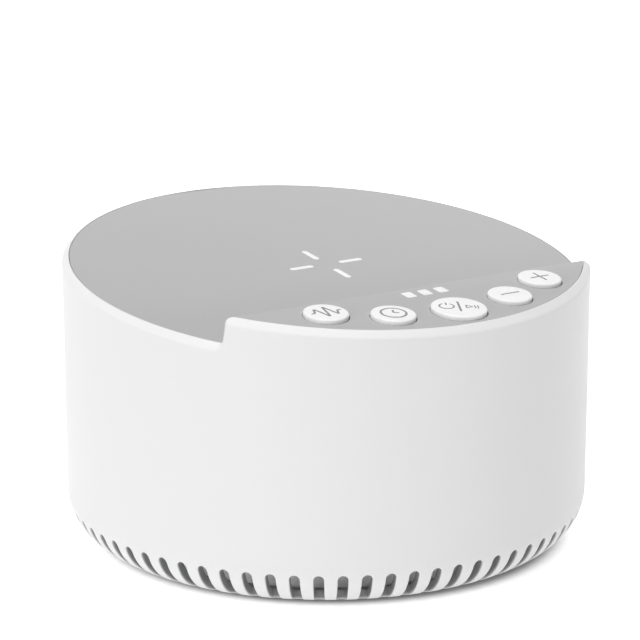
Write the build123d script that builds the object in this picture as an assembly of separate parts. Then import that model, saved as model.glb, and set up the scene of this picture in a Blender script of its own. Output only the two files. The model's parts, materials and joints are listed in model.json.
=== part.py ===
"""Bedside white noise machine with a tilted wireless charging plate.

Millimetres, +Z up. The origin is the centre of the foot circle, on the surface that the feet
stand on, and the keys face -Y. The top is laid out on the deck plane, which is the face of the
charging plate: u runs along +X, v up the slope towards the back, and w straight out of the plate.
"""
import os
from math import asin, cos, degrees, hypot, radians, sin, sqrt, tan

from build123d import *

# ---- drum -------------------------------------------------------------------------------------
DRUM_D = 115.0             # outside diameter of the housing
PLATE_HEIGHT = 60.7        # height of the charging plate where it crosses the drum's axis
DECK_TILT = 7.0            # slope of the plate and of the ledge, degrees
WALL = 2.0                 # housing wall
BOTTOM_RADIUS = 11.0       # outside radius of the rounded bottom edge
RIM_WALL = 1.55            # wall left outside the fascia at the rim
RIM_CHAMFER = 1.35         # bevel round the rim's outer edge
BEVEL_OVERCUT = 0.12       # how far the bevel's cutter stands out of the material
FOOT_STAND = 1.0           # how far the feet stand proud of the underside

# ---- deck: charging plate, step and key ledge ---------------------------------------------------
LEDGE_DEPTH = 25.1         # front of the drum to the step, along the plate
LEDGE_RISE = 5.85          # height of the ledge over the plate
STEP_TOP_RADIUS = 1.5
STEP_FOOT_RADIUS = 0.6
FASCIA_T = 2.0             # thickness of the grey fascia
FASCIA_DROP = 0.05         # fascia's face below the rim
FASCIA_GAP = 0.1           # round its edge

# ---- sound slots round the bottom edge ----------------------------------------------------------
SLOT_COUNT = 72
SLOT_W = 2.15
SLOT_TOP = 8.3             # height of a slot's top over the underside
SLOT_LIP = 2.5             # ring left between the slots and the bottom opening

# ---- base cover and feet ------------------------------------------------------------------------
COVER_T = 2.0
COVER_GAP = 0.2            # round the cover, in the bottom opening
COVER_CURB_H = 2.0         # upstand that carries the dust screen
COVER_CURB_T = 1.5
FOOT_R = 5.0
FOOT_INSET = 9.5           # foot centres inside the bottom opening
FOOT_SUNK = 1.0            # depth of the foot in its recess
FOOT_GAP = 0.1             # round the foot, in its recess
FOOT_EDGE_R = 0.4
DEFLECTOR_R = 17.0         # sound deflector under the driver
DEFLECTOR_H = 5.0
SCREEN_T = 0.5             # woven dust screen behind the slots
SCREEN_SEAT = 0.05

# ---- four housing posts -------------------------------------------------------------------------
POST_INSET = 8.5           # post centres inside the bottom opening
POST_R = 3.2
POST_GAP = 0.2
WEB_T = 2.0                # rib from a post to the wall
WEB_DROP = 3.4             # main board's lower face to the top of a rib
BOSS_WALL = 1.6            # wall of the cover's tubes round the posts
BOSS_FLOOR = 1.7           # floor that a base screw clamps
BASE_SCREW_R = 1.3
BASE_SCREW_L = 10.0
BASE_HEAD_R = 2.4
BASE_HEAD_H = 1.7
HEAD_RECESS = 0.2          # head below the surface around it
HEAD_GAP = 0.3             # round a sunk head
SHANK_GAP = 0.02           # round a screw in its formed thread
CLEAR_GAP = 0.2            # round a screw where it passes freely
SCREW_END_GAP = 0.15       # below a screw in a blind hole
SCREW_HEAD_ROUND = 0.45    # rounding of a head, as a share of its height
SCREW_POINT = 0.4          # bevel at a screw's end, as a share of its radius
CROSS_W = 0.3              # cross recess in a head: width and span, as shares of the head's radius
CROSS_SPAN = 1.2

# ---- speaker baffle and driver ------------------------------------------------------------------
BAFFLE_T = 2.0
BAFFLE_GAP = 0.1           # round the baffle, in the housing's shelf
GASKET_T = 0.6
DRIVER_POST_GAP = 5.3      # driver's flange to the posts
FLANGE_W = 7.2             # flange's edge to its opening
BAFFLE_MOUTH_MARGIN = 0.7  # baffle opening past the flange opening
FLANGE_T = 1.0
DRIVER_SCREW_INSET = 2.1   # screws inside the flange's edge
DRIVER_SCREW_R = 1.25
DRIVER_SCREW_L = 6.0
DRIVER_HEAD_R = 1.5
DRIVER_HEAD_H = 1.2
DRIVER_BOSS_H = 3.5
DRIVER_BOSS_R = 2.6
BASKET_WALL = 1.0
BASKET_BACK_R = 16.6       # back disc of the basket
BASKET_H = 12.0            # front of the flange to the back disc's upper face
SPIDER_SEAT_H = 10.0       # front of the flange to the spider's seat
SPIDER_SEAT_R = 12.4       # inner edge of the seat
BASKET_WALL_FOOT = 1.2     # thickness of the sloping wall where it leaves the flange
BASKET_WINDOW_W = 14.0
BASKET_WINDOW_LOW = 2.5    # front of the flange to a window's lower edge
BASKET_WINDOW_HIGH = 9.0
BASKET_WINDOW_IN = 15.8    # radius at which a window starts
TOP_PLATE_R = 16.0
TOP_PLATE_T = 3.0
MAGNET_R = 18.0
MAGNET_BORE_R = 9.5
MAGNET_T = 5.0
MAGNET_BEVEL = 0.5
YOKE_T = 3.0
POLE_R = 6.6
COIL_FORMER_R = 6.95       # inside of the voice coil's former
COIL_FORMER_T = 0.2
COIL_WIRE_T = 0.3
COIL_WIRE_H = 3.8
COIL_OVERHANG = 0.8        # windings past the top plate, towards the yoke, at full stroke
FORMER_PAST_NECK = 0.6     # former past the cone's neck, towards the front
MOTOR_GAP = 0.35           # windings to the top plate
CONE_T = 0.4
CONE_RIM_INSET = 3.7       # cone's rim inside the flange's opening
CONE_LIP = 1.3             # width of the cone's rim that is glued to the surround
CONE_NECK_H = 7.3          # front of the flange to the cone's neck
DUST_CAP_R = 9.0
DUST_CAP_RISE = 2.2
CONE_TRAVEL = 0.6          # each way
SURROUND_T = 0.4
SURROUND_ROLL_R = 1.9
SURROUND_EDGE = 1.7        # width of the surround's glued flange
SURROUND_GAP = 0.5         # surround's edge to the basket's wall, at the flange
SURROUND_MOUTH_GAP = 0.05  # round the half roll, in the flange's opening
SPIDER_T = 0.3
SPIDER_WAVE = 0.5
SPIDER_WAVES = 3
SPIDER_FLAT = 0.8          # flat ring inside the waves
SPIDER_GAP = 0.05          # round the former
SPIDER_SEAT_GAP = 0.2      # spider's edge to the basket's wall
TAB_REACH = 6.0            # terminal tab past the flange
TAB_W = 10.0
STRIP_T = 0.8
STRIP_L = 5.4
STRIP_INSET = 0.1          # strip's end to the tab's end
LUG_PITCH = 5.2
LUG_W = 1.8
LUG_L = 4.4
LUG_T = 0.5

# ---- main board ---------------------------------------------------------------------------------
BOARD_DROP = 17.3          # plate's face at the drum's axis to the board's lower face
BOARD_OVER_DRIVER = 2.8    # magnet yoke to the board's lower face
BOARD_MARGIN = 4.0         # board past the post centres
BOARD_T = 1.6
BOARD_TONGUE_W = 18.0      # tongue that reaches the rear inlet
BOARD_TONGUE_GAP = 2.0
BOARD_SCREW_R = 1.15
BOARD_SCREW_L = 7.0
BOARD_HEAD_R = 2.1
BOARD_HEAD_H = 1.5
USB_W = 8.94               # receptacle, outside
USB_H = 3.26
USB_L = 7.35
USB_SHEET = 0.3
USB_CORNER_R = 1.3
USB_TONGUE_W = 6.7
USB_TONGUE_T = 0.7
USB_TONGUE_L = 4.5
USB_DEPTH = 6.2
USB_GAP = 0.35             # round the receptacle in the wall
USB_SET_BACK = 0.6         # receptacle's mouth behind the drum's surface
SOCKET_W = 8.0
SOCKET_D = 5.0
SOCKET_H = 4.4
SOCKET_INSET = 0.2         # socket's middle inside the driver's terminals
WIRE_BOW = 1.9             # how far a speaker wire bows out
CHIP_BEVEL = 0.2           # as a share of a chip's height
CHIPS = {                  # name: (x, y, width, depth, height)
    "sound_chip": (-10.0, 4.0, 9.0, 9.0, 1.4),
    "amplifier_chip": (15.0, -8.0, 5.0, 4.0, 1.2),
    "charging_chip": (12.0, 12.0, 6.0, 6.0, 0.9),
}
INDUCTOR_PLACE = (-4.0, 20.0)
INDUCTOR_W = 7.0
INDUCTOR_H = 4.0
INDUCTOR_BEVEL = 1.05
CAN_PLACES = ((-24.0, -8.0), (-24.0, 2.0))
CAN_R = 3.15
CAN_H = 6.5
CAN_EDGE_R = 0.4
WIRE_D = 1.2
LEAD_D = 1.1
BEND_SHARE = 0.45          # share of the shorter run that a wire's arc takes up

# ---- keys ---------------------------------------------------------------------------------------
KEY_INSET = 7.15           # key centres inside the fascia's edge
SMALL_KEY_R = 4.65
POWER_KEY_R = 5.8
KEY_SPACING = 4.4          # between neighbouring caps
KEY_RISE = 1.0             # cap over the ledge
KEY_CROWN = 0.12
KEY_EDGE_R = 0.35
KEY_GAP = 0.18             # round a cap in its hole
KEY_FLANGE = 0.5           # flange past the hole
KEY_FLANGE_T = 0.9
KEY_SEAT_GAP = 0.05
KEY_STEM_R = 1.5
KEY_TRAVEL = 0.4
SWITCH_W = 6.0
SWITCH_H = 3.1
PLUNGER_R = 1.7
PLUNGER_RISE = 1.2
PLUNGER_SUNK = 1.1
PLUNGER_GAP = 0.08
PLUNGER_END_GAP = 0.15     # below a pressed plunger
KEY_BOARD_DEPTH = 6.5      # underside of the ledge to the key board
KEY_BOARD_INSET = 2.5      # board's edge inside the housing wall
KEY_BOARD_END = 6.5        # board past the outer keys' centres
KEY_BOARD_T = 1.6
KEY_BOARD_BACK_GAP = 0.5
SCREW_PILLAR_R = 2.6
INNER_PILLAR_PITCH = 20.0
INNER_PILLAR_FROM_STEP = 6.6
OUTER_PILLAR_INSET = 7.3   # inside the key circle, between the two outer keys
SMALL_SCREW_R = 1.0
SMALL_SCREW_L = 5.0
SMALL_HEAD_R = 1.9
SMALL_HEAD_H = 1.3

# ---- indicator windows --------------------------------------------------------------------------
WINDOW_COUNT = 3
WINDOW_W = 2.45
WINDOW_L = 3.0
WINDOW_PITCH = 4.05
WINDOW_CORNER_R = 0.45
WINDOW_FROM_STEP = 4.25    # step face to the windows' centres
WINDOW_GAP = 0.06
LENS_RIM = 0.35
LENS_T = 1.2
LENS_LEG_W = 1.8
LED_W = 2.0
LED_L = 1.25
LED_H = 0.7
LED_GAP = 0.3

# ---- charging coil ------------------------------------------------------------------------------
COIL_R = 22.0
COIL_BORE_R = 10.5
COIL_T = 1.2
FERRITE_R = 24.0
FERRITE_T = 1.0
TRAY_R = 26.0
TRAY_T = 1.5
TRAY_WALL = 1.4
TRAY_EAR_R = 3.6
TRAY_SCREW_CIRCLE_R = 30.0
TRAY_TOP_GAP = 0.1         # tray's rim to the plate
TRAY_LEAD_NOTCH = 8.0
LEAD_OUT = 5.0             # straight run of a lead from the coil through the notch
LEAD_PITCH = 3.2
LEAD_SPREAD = 1.4          # how far a lead moves to its side on its way down
LEAD_REACH = 6.9           # end of that run to where a lead meets the board

# ---- snap hooks that hold the fascia --------------------------------------------------------------
HOOK_ANGLES = (35, 90, 145, 190, 223, 317, 350)
HOOK_W = 8.0
HOOK_T = 1.4
HOOK_L = 7.0
HOOK_INSET = 0.4           # hook to the housing wall
HOOK_BARB = 0.35
HOOK_BARB_H = 1.6
HOOK_BARB_SLOPE = 1.12     # height of the barb's sloping part
POCKET_GAP = 0.15

# ---- flat cable between the boards ----------------------------------------------------------------
RIBBON_W = 10.0
RIBBON_T = 0.3
RIBBON_SOCKET_W = 13.0
RIBBON_SOCKET_L = 4.0
RIBBON_SOCKET_H = 2.0
RIBBON_SOCKET_FROM_STEP = 6.6
RIBBON_LOOP = 6.0
RIBBON_BEND_R = 2.0

# ---- sizes that follow ----------------------------------------------------------------------------
REACH = 2.0 * DRUM_D                           # long enough to pass everything
PAST = 1.0                                     # how far a cutter runs past a face
ROOT = 0.5                                     # how far a joined shape runs into its neighbour
DRUM_R = DRUM_D / 2
UNDERSIDE_Z = FOOT_STAND
INNER_R = DRUM_R - WALL
RIM_R = DRUM_R - RIM_WALL
FASCIA_R = RIM_R - FASCIA_GAP
OPENING_R = DRUM_R - BOTTOM_RADIUS
STEP_DISTANCE = DRUM_R - LEDGE_DEPTH
KEY_CIRCLE_R = FASCIA_R - KEY_INSET
KEY_BOARD_R = INNER_R - KEY_BOARD_INSET
COVER_TOP = UNDERSIDE_Z + COVER_T
CURB_R = OPENING_R - COVER_GAP - BAFFLE_GAP
SCREEN_R = OPENING_R - COVER_GAP
FOOT_CIRCLE_R = OPENING_R - FOOT_INSET
FOOT_RECESS_TOP = UNDERSIDE_Z + FOOT_SUNK
POST_CIRCLE_R = OPENING_R - POST_INSET
POST_FOOT = UNDERSIDE_Z + HEAD_RECESS + BASE_HEAD_H + BOSS_FLOOR
BORE_R = POST_R + POST_GAP
BOSS_R = BORE_R + BOSS_WALL
DRIVER_R = POST_CIRCLE_R - POST_R - DRIVER_POST_GAP
DRIVER_MOUTH_R = DRIVER_R - FLANGE_W
DRIVER_SCREW_CIRCLE_R = DRIVER_R - DRIVER_SCREW_INSET
CONE_RIM_R = DRIVER_MOUTH_R - CONE_RIM_INSET
TERMINAL_X = DRIVER_R + TAB_REACH - STRIP_INSET - STRIP_L / 2
SOCKET_X = TERMINAL_X - SOCKET_INSET
BOARD_Z = PLATE_HEIGHT - BOARD_DROP
BOARD_TOP = BOARD_Z + BOARD_T
BOARD_R = POST_CIRCLE_R + BOARD_MARGIN
WEB_TOP = BOARD_Z - WEB_DROP
YOKE_Z = BOARD_Z - BOARD_OVER_DRIVER - YOKE_T
MAGNET_Z = YOKE_Z - MAGNET_T
MOTOR_Z = MAGNET_Z - TOP_PLATE_T
DRIVER_Z = MOTOR_Z - BASKET_H
BAFFLE_TOP = DRIVER_Z - GASKET_T
BAFFLE_Z = BAFFLE_TOP - BAFFLE_T
FORMER_R = COIL_FORMER_R + COIL_FORMER_T
WINDING_R = FORMER_R + COIL_WIRE_T
SURROUND_R = DRIVER_MOUTH_R + SURROUND_EDGE
USB_Z = BOARD_TOP + USB_H / 2
USB_MOUTH_Y = DRUM_R - USB_SET_BACK

CORNERS = (45, 135, 225, 315)                  # posts, base screws and driver screws
SIDES = (0, 90, 180, 270)                      # feet

DECK = Plane(
    origin=(0, 0, PLATE_HEIGHT),
    x_dir=(1, 0, 0),
    z_dir=(0, -sin(radians(DECK_TILT)), cos(radians(DECK_TILT))),
)
DECK_SIDE = Plane(origin=DECK.origin, x_dir=DECK.y_dir, z_dir=(1, 0, 0))

UNDER_LEDGE = LEDGE_RISE - FASCIA_DROP - FASCIA_T     # these four are w values on the deck
UNDER_PLATE = -FASCIA_DROP - FASCIA_T
LEDGE_FACE = LEDGE_RISE - FASCIA_DROP
KEY_BOARD_TOP = UNDER_LEDGE - KEY_BOARD_DEPTH
KEY_BOARD_UNDER = KEY_BOARD_TOP - KEY_BOARD_T
PLUNGER_TOP = KEY_BOARD_TOP + SWITCH_H + PLUNGER_RISE
FERRITE_W = UNDER_PLATE - COIL_T - FERRITE_T
TRAY_UNDER = FERRITE_W - TRAY_T
WINDOW_V = -STEP_DISTANCE - WINDOW_FROM_STEP
RIBBON_SOCKET_V = -STEP_DISTANCE - RIBBON_SOCKET_FROM_STEP
WINDOW_US = [WINDOW_PITCH * (i - (WINDOW_COUNT - 1) / 2) for i in range(WINDOW_COUNT)]


def swing(first_r, second_r):
    """Angle round the key circle between two neighbouring caps."""
    return degrees(2 * asin((first_r + second_r + KEY_SPACING) / (2 * KEY_CIRCLE_R)))


INNER_SWING = swing(POWER_KEY_R, SMALL_KEY_R)
OUTER_SWING = INNER_SWING + swing(SMALL_KEY_R, SMALL_KEY_R)
KEYS = {                                       # name: (angle from the front, cap radius)
    "mode": (-OUTER_SWING, SMALL_KEY_R),
    "timer": (-INNER_SWING, SMALL_KEY_R),
    "power": (0.0, POWER_KEY_R),
    "volume_down": (INNER_SWING, SMALL_KEY_R),
    "volume_up": (OUTER_SWING, SMALL_KEY_R),
}
KEY_PLACES = {
    name: (KEY_CIRCLE_R * sin(radians(angle)), -KEY_CIRCLE_R * cos(radians(angle)), cap_r)
    for name, (angle, cap_r) in KEYS.items()
}
KEY_BOARD_HALF_W = KEY_PLACES["volume_up"][0] + KEY_BOARD_END
OUTER_PILLAR_ANGLE = radians((INNER_SWING + OUTER_SWING) / 2)
OUTER_PILLAR_R = KEY_CIRCLE_R - OUTER_PILLAR_INSET
PILLAR_PLACES = (
    (INNER_PILLAR_PITCH / 2, -STEP_DISTANCE - INNER_PILLAR_FROM_STEP),
    (OUTER_PILLAR_R * sin(OUTER_PILLAR_ANGLE), -OUTER_PILLAR_R * cos(OUTER_PILLAR_ANGLE)),
)
PILLARS = [(side * u, v) for side in (-1, 1) for u, v in PILLAR_PLACES]


# ---- building blocks ------------------------------------------------------------------------------
def disc(radius, low, high):
    """Upright cylinder between two heights."""
    return Pos(0, 0, low) * Cylinder(radius, high - low, align=(Align.CENTER, Align.CENTER, Align.MIN))


def ring(outer, inner, low, high):
    return disc(outer, low, high) - disc(inner, low - PAST, high + PAST)


def block(width, depth, low, high):
    """Upright box between two heights, centred on the axis."""
    return Pos(0, 0, low) * Box(width, depth, high - low, align=(Align.CENTER, Align.CENTER, Align.MIN))


def turned(*points):
    """Solid of revolution about Z from a closed (radius, height) outline of straight lines."""
    outline = Polyline(*[(r, 0, z) for r, z in points], close=True)
    return revolve(make_face(outline), Axis.Z)


def at(radius, height):
    """Point of an outline that is turned about Z."""
    return (radius, 0, height)


def polar(radius, angle):
    """Place at a radius and angle, turned to face outwards."""
    return Rot(0, 0, angle) * Pos(radius, 0, 0)


def group(solids):
    return Compound(children=list(solids))


def pan_screw(shank_r, length, head_r, head_h):
    """Screw with its head's seat at height 0 and its shank pointing down."""
    head = disc(head_r, 0, head_h)
    head = fillet(head.edges().group_by(Axis.Z)[-1], SCREW_HEAD_ROUND * head_h)
    width = CROSS_W * head_r
    span = CROSS_SPAN * head_r
    cross = Box(width, span, head_h) + Box(span, width, head_h)
    shank = disc(shank_r, -length, 0)
    shank = chamfer(shank.edges().group_by(Axis.Z)[0], SCREW_POINT * shank_r)
    return head + shank - Pos(0, 0, head_h) * cross


def bent_tube(points, diameter):
    """Round wire along straight runs joined by arcs as large as the runs allow."""
    places = [Vector(*p) for p in points]
    radii = []
    for before, here, after in zip(places, places[1:], places[2:]):
        half_turn = radians((here - before).get_angle(after - here)) / 2
        shorter = min((here - before).length, (after - here).length)
        radii.append(BEND_SHARE * shorter / tan(half_turn))
    print("wire radii", [round(r, 1) for r in radii])
    path = FilletPolyline(*places, radius=radii)
    section = Plane(origin=path @ 0, z_dir=path % 0) * Circle(diameter / 2)
    return sweep(section, path=path)


def below_deck(drop):
    """Everything under the deck's face once the face is moved into the material by drop."""
    ledge = LEDGE_RISE - drop
    step = -STEP_DISTANCE - drop
    outline = Polyline((-REACH, -REACH), (-REACH, ledge), (step, ledge), (step, -drop),
                       (REACH, -drop), (REACH, -REACH), close=True)
    profile = make_face(outline)
    top, foot = (profile.vertices().sort_by_distance((step, w))[0] for w in (ledge, -drop))
    profile = fillet(foot, STEP_FOOT_RADIUS + drop)
    if STEP_TOP_RADIUS > drop:
        top = profile.vertices().sort_by_distance((step, ledge))[0]
        profile = fillet(top, STEP_TOP_RADIUS - drop)
    return extrude(DECK_SIDE * profile, amount=REACH, both=True)


def deck_height(y, w):
    """Height of the plane at w over the plate, at a place y from the drum's axis."""
    return PLATE_HEIGHT + y * tan(radians(DECK_TILT)) + w / cos(radians(DECK_TILT))


def on_deck(u, v, w=0.0):
    return DECK * Pos(u, v, w)


def deck_point(u, v, w):
    return DECK.from_local_coords(Vector(u, v, w))


def drum(radius, floor, corner):
    """Solid drum with a rounded bottom edge, taller than the housing."""
    body = disc(radius, floor, REACH)
    return fillet(body.edges().group_by(Axis.Z)[0], corner)


def hook_height(angle):
    """Height of a hook's lower end."""
    y = (INNER_R - HOOK_INSET) * sin(radians(angle))
    on_ledge = y < -STEP_DISTANCE
    return deck_height(y, UNDER_LEDGE if on_ledge else UNDER_PLATE) - HOOK_L


# ---- housing --------------------------------------------------------------------------------------
def rim_curve(radius, drop):
    """Edges round a drum of this radius where it meets the deck's face moved down by drop."""
    body = disc(radius, WEB_TOP, REACH) & below_deck(drop)

    def on_wall(edge):
        middle = edge @ 0.5
        return abs(hypot(middle.X, middle.Y) - radius) < BEVEL_OVERCUT / 10 and middle.Z > WEB_TOP + PAST

    curve = [edge for edge in body.edges() if on_wall(edge) and edge.geom_type != GeomType.LINE]
    return sorted(curve, key=lambda edge: (round((edge @ 0.5).Y, 2), (edge @ 0.5).X))


def rim_bevel():
    """Cutter for the bevel: a ring of triangular section that follows the rim over the step."""
    past = RIM_CHAMFER + BEVEL_OVERCUT
    low = rim_curve(DRUM_R + BEVEL_OVERCUT, past)
    high = rim_curve(DRUM_R - past, -BEVEL_OVERCUT)
    outer = rim_curve(DRUM_R + 2 * BEVEL_OVERCUT, -2 * BEVEL_OVERCUT)
    bands = ((low, high), (high, outer), (outer, low))
    faces = [Face.make_surface_from_curves(*pair) for band in bands for pair in zip(*band)]
    return Solid(Shell(faces))


def sound_slot():
    """Cutter for one slot: round-ended on the wall and again where it runs under the edge."""
    top = UNDERSIDE_Z + SLOT_TOP - SLOT_W / 2
    inner = OPENING_R + SLOT_LIP + SLOT_W / 2
    upright = Plane.YZ * (Pos(0, top / 2) * Rectangle(SLOT_W, top) + Pos(0, top) * Circle(SLOT_W / 2))
    flat = Pos(DRUM_R, 0) * Rectangle(2 * (DRUM_R - inner), SLOT_W) + Pos(inner, 0) * Circle(SLOT_W / 2)
    return extrude(upright, amount=REACH) & extrude(flat, amount=REACH)


def housing_posts():
    """Four posts, each carried from the wall by a web that also locates the baffle."""
    web_reach = INNER_R + WALL / 2 - POST_CIRCLE_R
    post = disc(POST_R, POST_FOOT, BOARD_Z)
    web = Pos(web_reach / 2, 0, 0) * block(web_reach, WEB_T, BAFFLE_TOP, WEB_TOP)
    post = post + web
    post -= disc(BASE_SCREW_R + SHANK_GAP, POST_FOOT - PAST, POST_FOOT + BASE_SCREW_L)
    post -= disc(BOARD_SCREW_R + SHANK_GAP, BOARD_Z - BOARD_SCREW_L, BOARD_Z + PAST)
    return [polar(POST_CIRCLE_R, a) * post for a in CORNERS]


def usb_outline(grow):
    return RectangleRounded(USB_W + 2 * grow, USB_H + 2 * grow, USB_CORNER_R + grow)


def usb_hole():
    """Rear inlet through the wall."""
    inside = Plane(origin=(0, INNER_R - PAST, USB_Z), x_dir=(-1, 0, 0), z_dir=(0, 1, 0))
    return extrude(inside * usb_outline(USB_GAP), amount=WALL + 2 * PAST)


def hook_pocket(angle):
    """Cutter for the pocket in the wall that a hook's barb snaps into."""
    depth = HOOK_BARB + POCKET_GAP
    low = hook_height(angle) - POCKET_GAP
    high = low + HOOK_BARB_H + 2 * POCKET_GAP
    return polar(INNER_R, angle) * block(2 * depth, HOOK_W + 2 * POCKET_GAP, low, high)


def outer_shell():
    """Drum with its slots, posts and hook pockets, and a shelf that meets the baffle's edge."""
    body = drum(DRUM_R, UNDERSIDE_Z, BOTTOM_RADIUS) & below_deck(0)
    body -= rim_bevel()
    body -= drum(INNER_R, UNDERSIDE_Z + WALL, BOTTOM_RADIUS - WALL)
    body -= disc(OPENING_R, 0, COVER_TOP + WALL)
    body -= disc(RIM_R, WEB_TOP, REACH) - below_deck(FASCIA_DROP + FASCIA_T)
    body -= [Rot(0, 0, i * 360 / SLOT_COUNT) * sound_slot() for i in range(SLOT_COUNT)]
    body += ring(INNER_R + WALL / 2, SCREEN_R, BAFFLE_Z, BAFFLE_TOP)
    for post in housing_posts():
        body += post
    body -= [hook_pocket(a) for a in HOOK_ANGLES]
    return body - usb_hole()


def base_cover():
    """Disc with an upstand, tubes round the posts and a hollow cone that turns the sound outwards."""
    body = disc(SCREEN_R, UNDERSIDE_Z, COVER_TOP)
    body += ring(CURB_R, CURB_R - COVER_CURB_T, UNDERSIDE_Z, COVER_TOP + COVER_CURB_H)
    hollow_r = DEFLECTOR_R - COVER_T
    body += turned((0, COVER_TOP - ROOT), (DEFLECTOR_R, COVER_TOP - ROOT), (DEFLECTOR_R, COVER_TOP),
                   (0, COVER_TOP + DEFLECTOR_H))
    body -= turned((0, UNDERSIDE_Z - PAST), (hollow_r, UNDERSIDE_Z - PAST), (hollow_r, UNDERSIDE_Z),
                   (0, UNDERSIDE_Z + DEFLECTOR_H))
    for angle in CORNERS:
        boss = disc(BOSS_R, UNDERSIDE_Z, BAFFLE_Z) - disc(BORE_R, POST_FOOT, REACH)
        boss -= disc(BASE_SCREW_R + CLEAR_GAP, 0, REACH)
        boss -= disc(BASE_HEAD_R + HEAD_GAP, 0, POST_FOOT - BOSS_FLOOR)
        body -= polar(POST_CIRCLE_R, angle) * disc(BOSS_R - ROOT, 0, REACH)
        body += polar(POST_CIRCLE_R, angle) * boss
    for angle in SIDES:
        body -= polar(FOOT_CIRCLE_R, angle) * disc(FOOT_R + FOOT_GAP, 0, FOOT_RECESS_TOP)
    return body


def rubber_feet():
    foot = disc(FOOT_R, 0, FOOT_RECESS_TOP)
    foot = fillet(foot.edges().group_by(Axis.Z)[0], FOOT_EDGE_R)
    return group(polar(FOOT_CIRCLE_R, a) * foot for a in SIDES)


def base_screws():
    screw = Rot(180, 0, 0) * pan_screw(BASE_SCREW_R, BASE_SCREW_L, BASE_HEAD_R, BASE_HEAD_H)
    seat = Pos(0, 0, POST_FOOT - BOSS_FLOOR)
    return group(polar(POST_CIRCLE_R, a) * seat * screw for a in CORNERS)


def dust_screen():
    """Cloth ring that stands on the housing's floor, round the cover's upstand, up to the shelf."""
    return ring(SCREEN_R + SCREEN_T, SCREEN_R, COVER_TOP + SCREEN_SEAT, BAFFLE_Z)


# ---- fascia, keys and windows -----------------------------------------------------------------------
def snap_hook(angle):
    """Tab below the fascia with a barb: square above, to catch in its pocket, and sloping below."""
    low = hook_height(angle)
    high = low + HOOK_BARB_H
    outer = INNER_R - HOOK_INSET
    middle = outer - HOOK_T / 2
    tip = INNER_R + HOOK_BARB
    tab = Pos(middle, 0, 0) * block(HOOK_T, HOOK_W, low, REACH)
    profile = Polyline(at(middle, low), at(outer, low), at(tip, low + HOOK_BARB_SLOPE), at(tip, high),
                       at(middle, high), close=True)
    barb = extrude(make_face(profile), amount=HOOK_W / 2, both=True)
    inside = below_deck(FASCIA_DROP + FASCIA_T / 2)
    return (Rot(0, 0, angle) * (tab + barb)) & inside


def screw_pillar(low, high, hole_top):
    pillar = disc(SCREW_PILLAR_R, low, high)
    return pillar - disc(SMALL_SCREW_R + SHANK_GAP, low - PAST, hole_top)


def top_fascia():
    """Plate, step and ledge in one moulding, with its hooks, pillars, key holes and window holes."""
    body = disc(FASCIA_R, 0, REACH) & below_deck(FASCIA_DROP)
    body -= below_deck(FASCIA_DROP + FASCIA_T)
    for angle in HOOK_ANGLES:
        body += snap_hook(angle)
    board_pillar = screw_pillar(KEY_BOARD_TOP, UNDER_LEDGE + FASCIA_T / 2, KEY_BOARD_TOP + SMALL_SCREW_L)
    for u, v in PILLARS:
        body += on_deck(u, v) * board_pillar
    tray_pillar = screw_pillar(FERRITE_W, UNDER_PLATE + FASCIA_T / 2, UNDER_PLATE + SCREW_END_GAP)
    for angle in CORNERS:
        body += DECK * polar(TRAY_SCREW_CIRCLE_R, angle) * tray_pillar
    for u, v, cap_r in KEY_PLACES.values():
        body -= on_deck(u, v) * disc(cap_r + KEY_GAP, UNDER_LEDGE - PAST, LEDGE_RISE + PAST)
    window = extrude(window_outline(WINDOW_GAP), amount=FASCIA_T + 2 * PAST)
    for u in WINDOW_US:
        body -= on_deck(u, WINDOW_V, UNDER_LEDGE - PAST) * window
    return body


def window_outline(grow):
    return RectangleRounded(WINDOW_W + 2 * grow, WINDOW_L + 2 * grow, WINDOW_CORNER_R + grow)


def key_cap(u, v, cap_r):
    """Round cap with a low crown, a flange under the ledge and a stem to its switch."""
    top = LEDGE_FACE + KEY_RISE
    shoulder = top - KEY_CROWN
    flange_top = UNDER_LEDGE - KEY_SEAT_GAP
    low = flange_top - KEY_FLANGE_T
    flat_r = cap_r - KEY_EDGE_R
    bend = KEY_EDGE_R * cos(radians(45))
    outline = [
        Polyline(at(0, top), at(0, low), at(cap_r, low), at(cap_r, shoulder - KEY_EDGE_R)),
        ThreePointArc(at(cap_r, shoulder - KEY_EDGE_R),
                      at(flat_r + bend, shoulder - KEY_EDGE_R + bend), at(flat_r, shoulder)),
        TangentArc(at(0, top), at(flat_r, shoulder), tangent=(1, 0, 0)),
    ]
    body = revolve(make_face(outline), Axis.Z)
    body += disc(cap_r + KEY_GAP + KEY_FLANGE, flange_top - KEY_FLANGE_T, flange_top)
    body += disc(KEY_STEM_R, PLUNGER_TOP, flange_top)
    return on_deck(u, v) * body


def switch_plunger(u, v):
    return on_deck(u, v) * disc(PLUNGER_R, KEY_BOARD_TOP + SWITCH_H - PLUNGER_SUNK, PLUNGER_TOP)


def tact_switches():
    body = block(SWITCH_W, SWITCH_W, KEY_BOARD_TOP, KEY_BOARD_TOP + SWITCH_H)
    bore_floor = KEY_BOARD_TOP + SWITCH_H - PLUNGER_SUNK - KEY_TRAVEL - PLUNGER_END_GAP
    body -= disc(PLUNGER_R + PLUNGER_GAP, bore_floor, REACH)
    return group(on_deck(u, v) * body for u, v, _ in KEY_PLACES.values())


def key_board():
    """Board under the ledge: a segment of a disc with a straight back edge."""
    back = -STEP_DISTANCE - FASCIA_DROP - FASCIA_T - KEY_BOARD_BACK_GAP
    body = disc(KEY_BOARD_R, KEY_BOARD_UNDER, KEY_BOARD_TOP)
    body &= Pos(0, back - REACH / 2, 0) * Box(2 * KEY_BOARD_HALF_W, REACH, REACH)
    hole = disc(SMALL_SCREW_R + CLEAR_GAP, KEY_BOARD_UNDER - PAST, KEY_BOARD_TOP + PAST)
    for u, v in PILLARS:
        body -= Pos(u, v, 0) * hole
    return DECK * body


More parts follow.
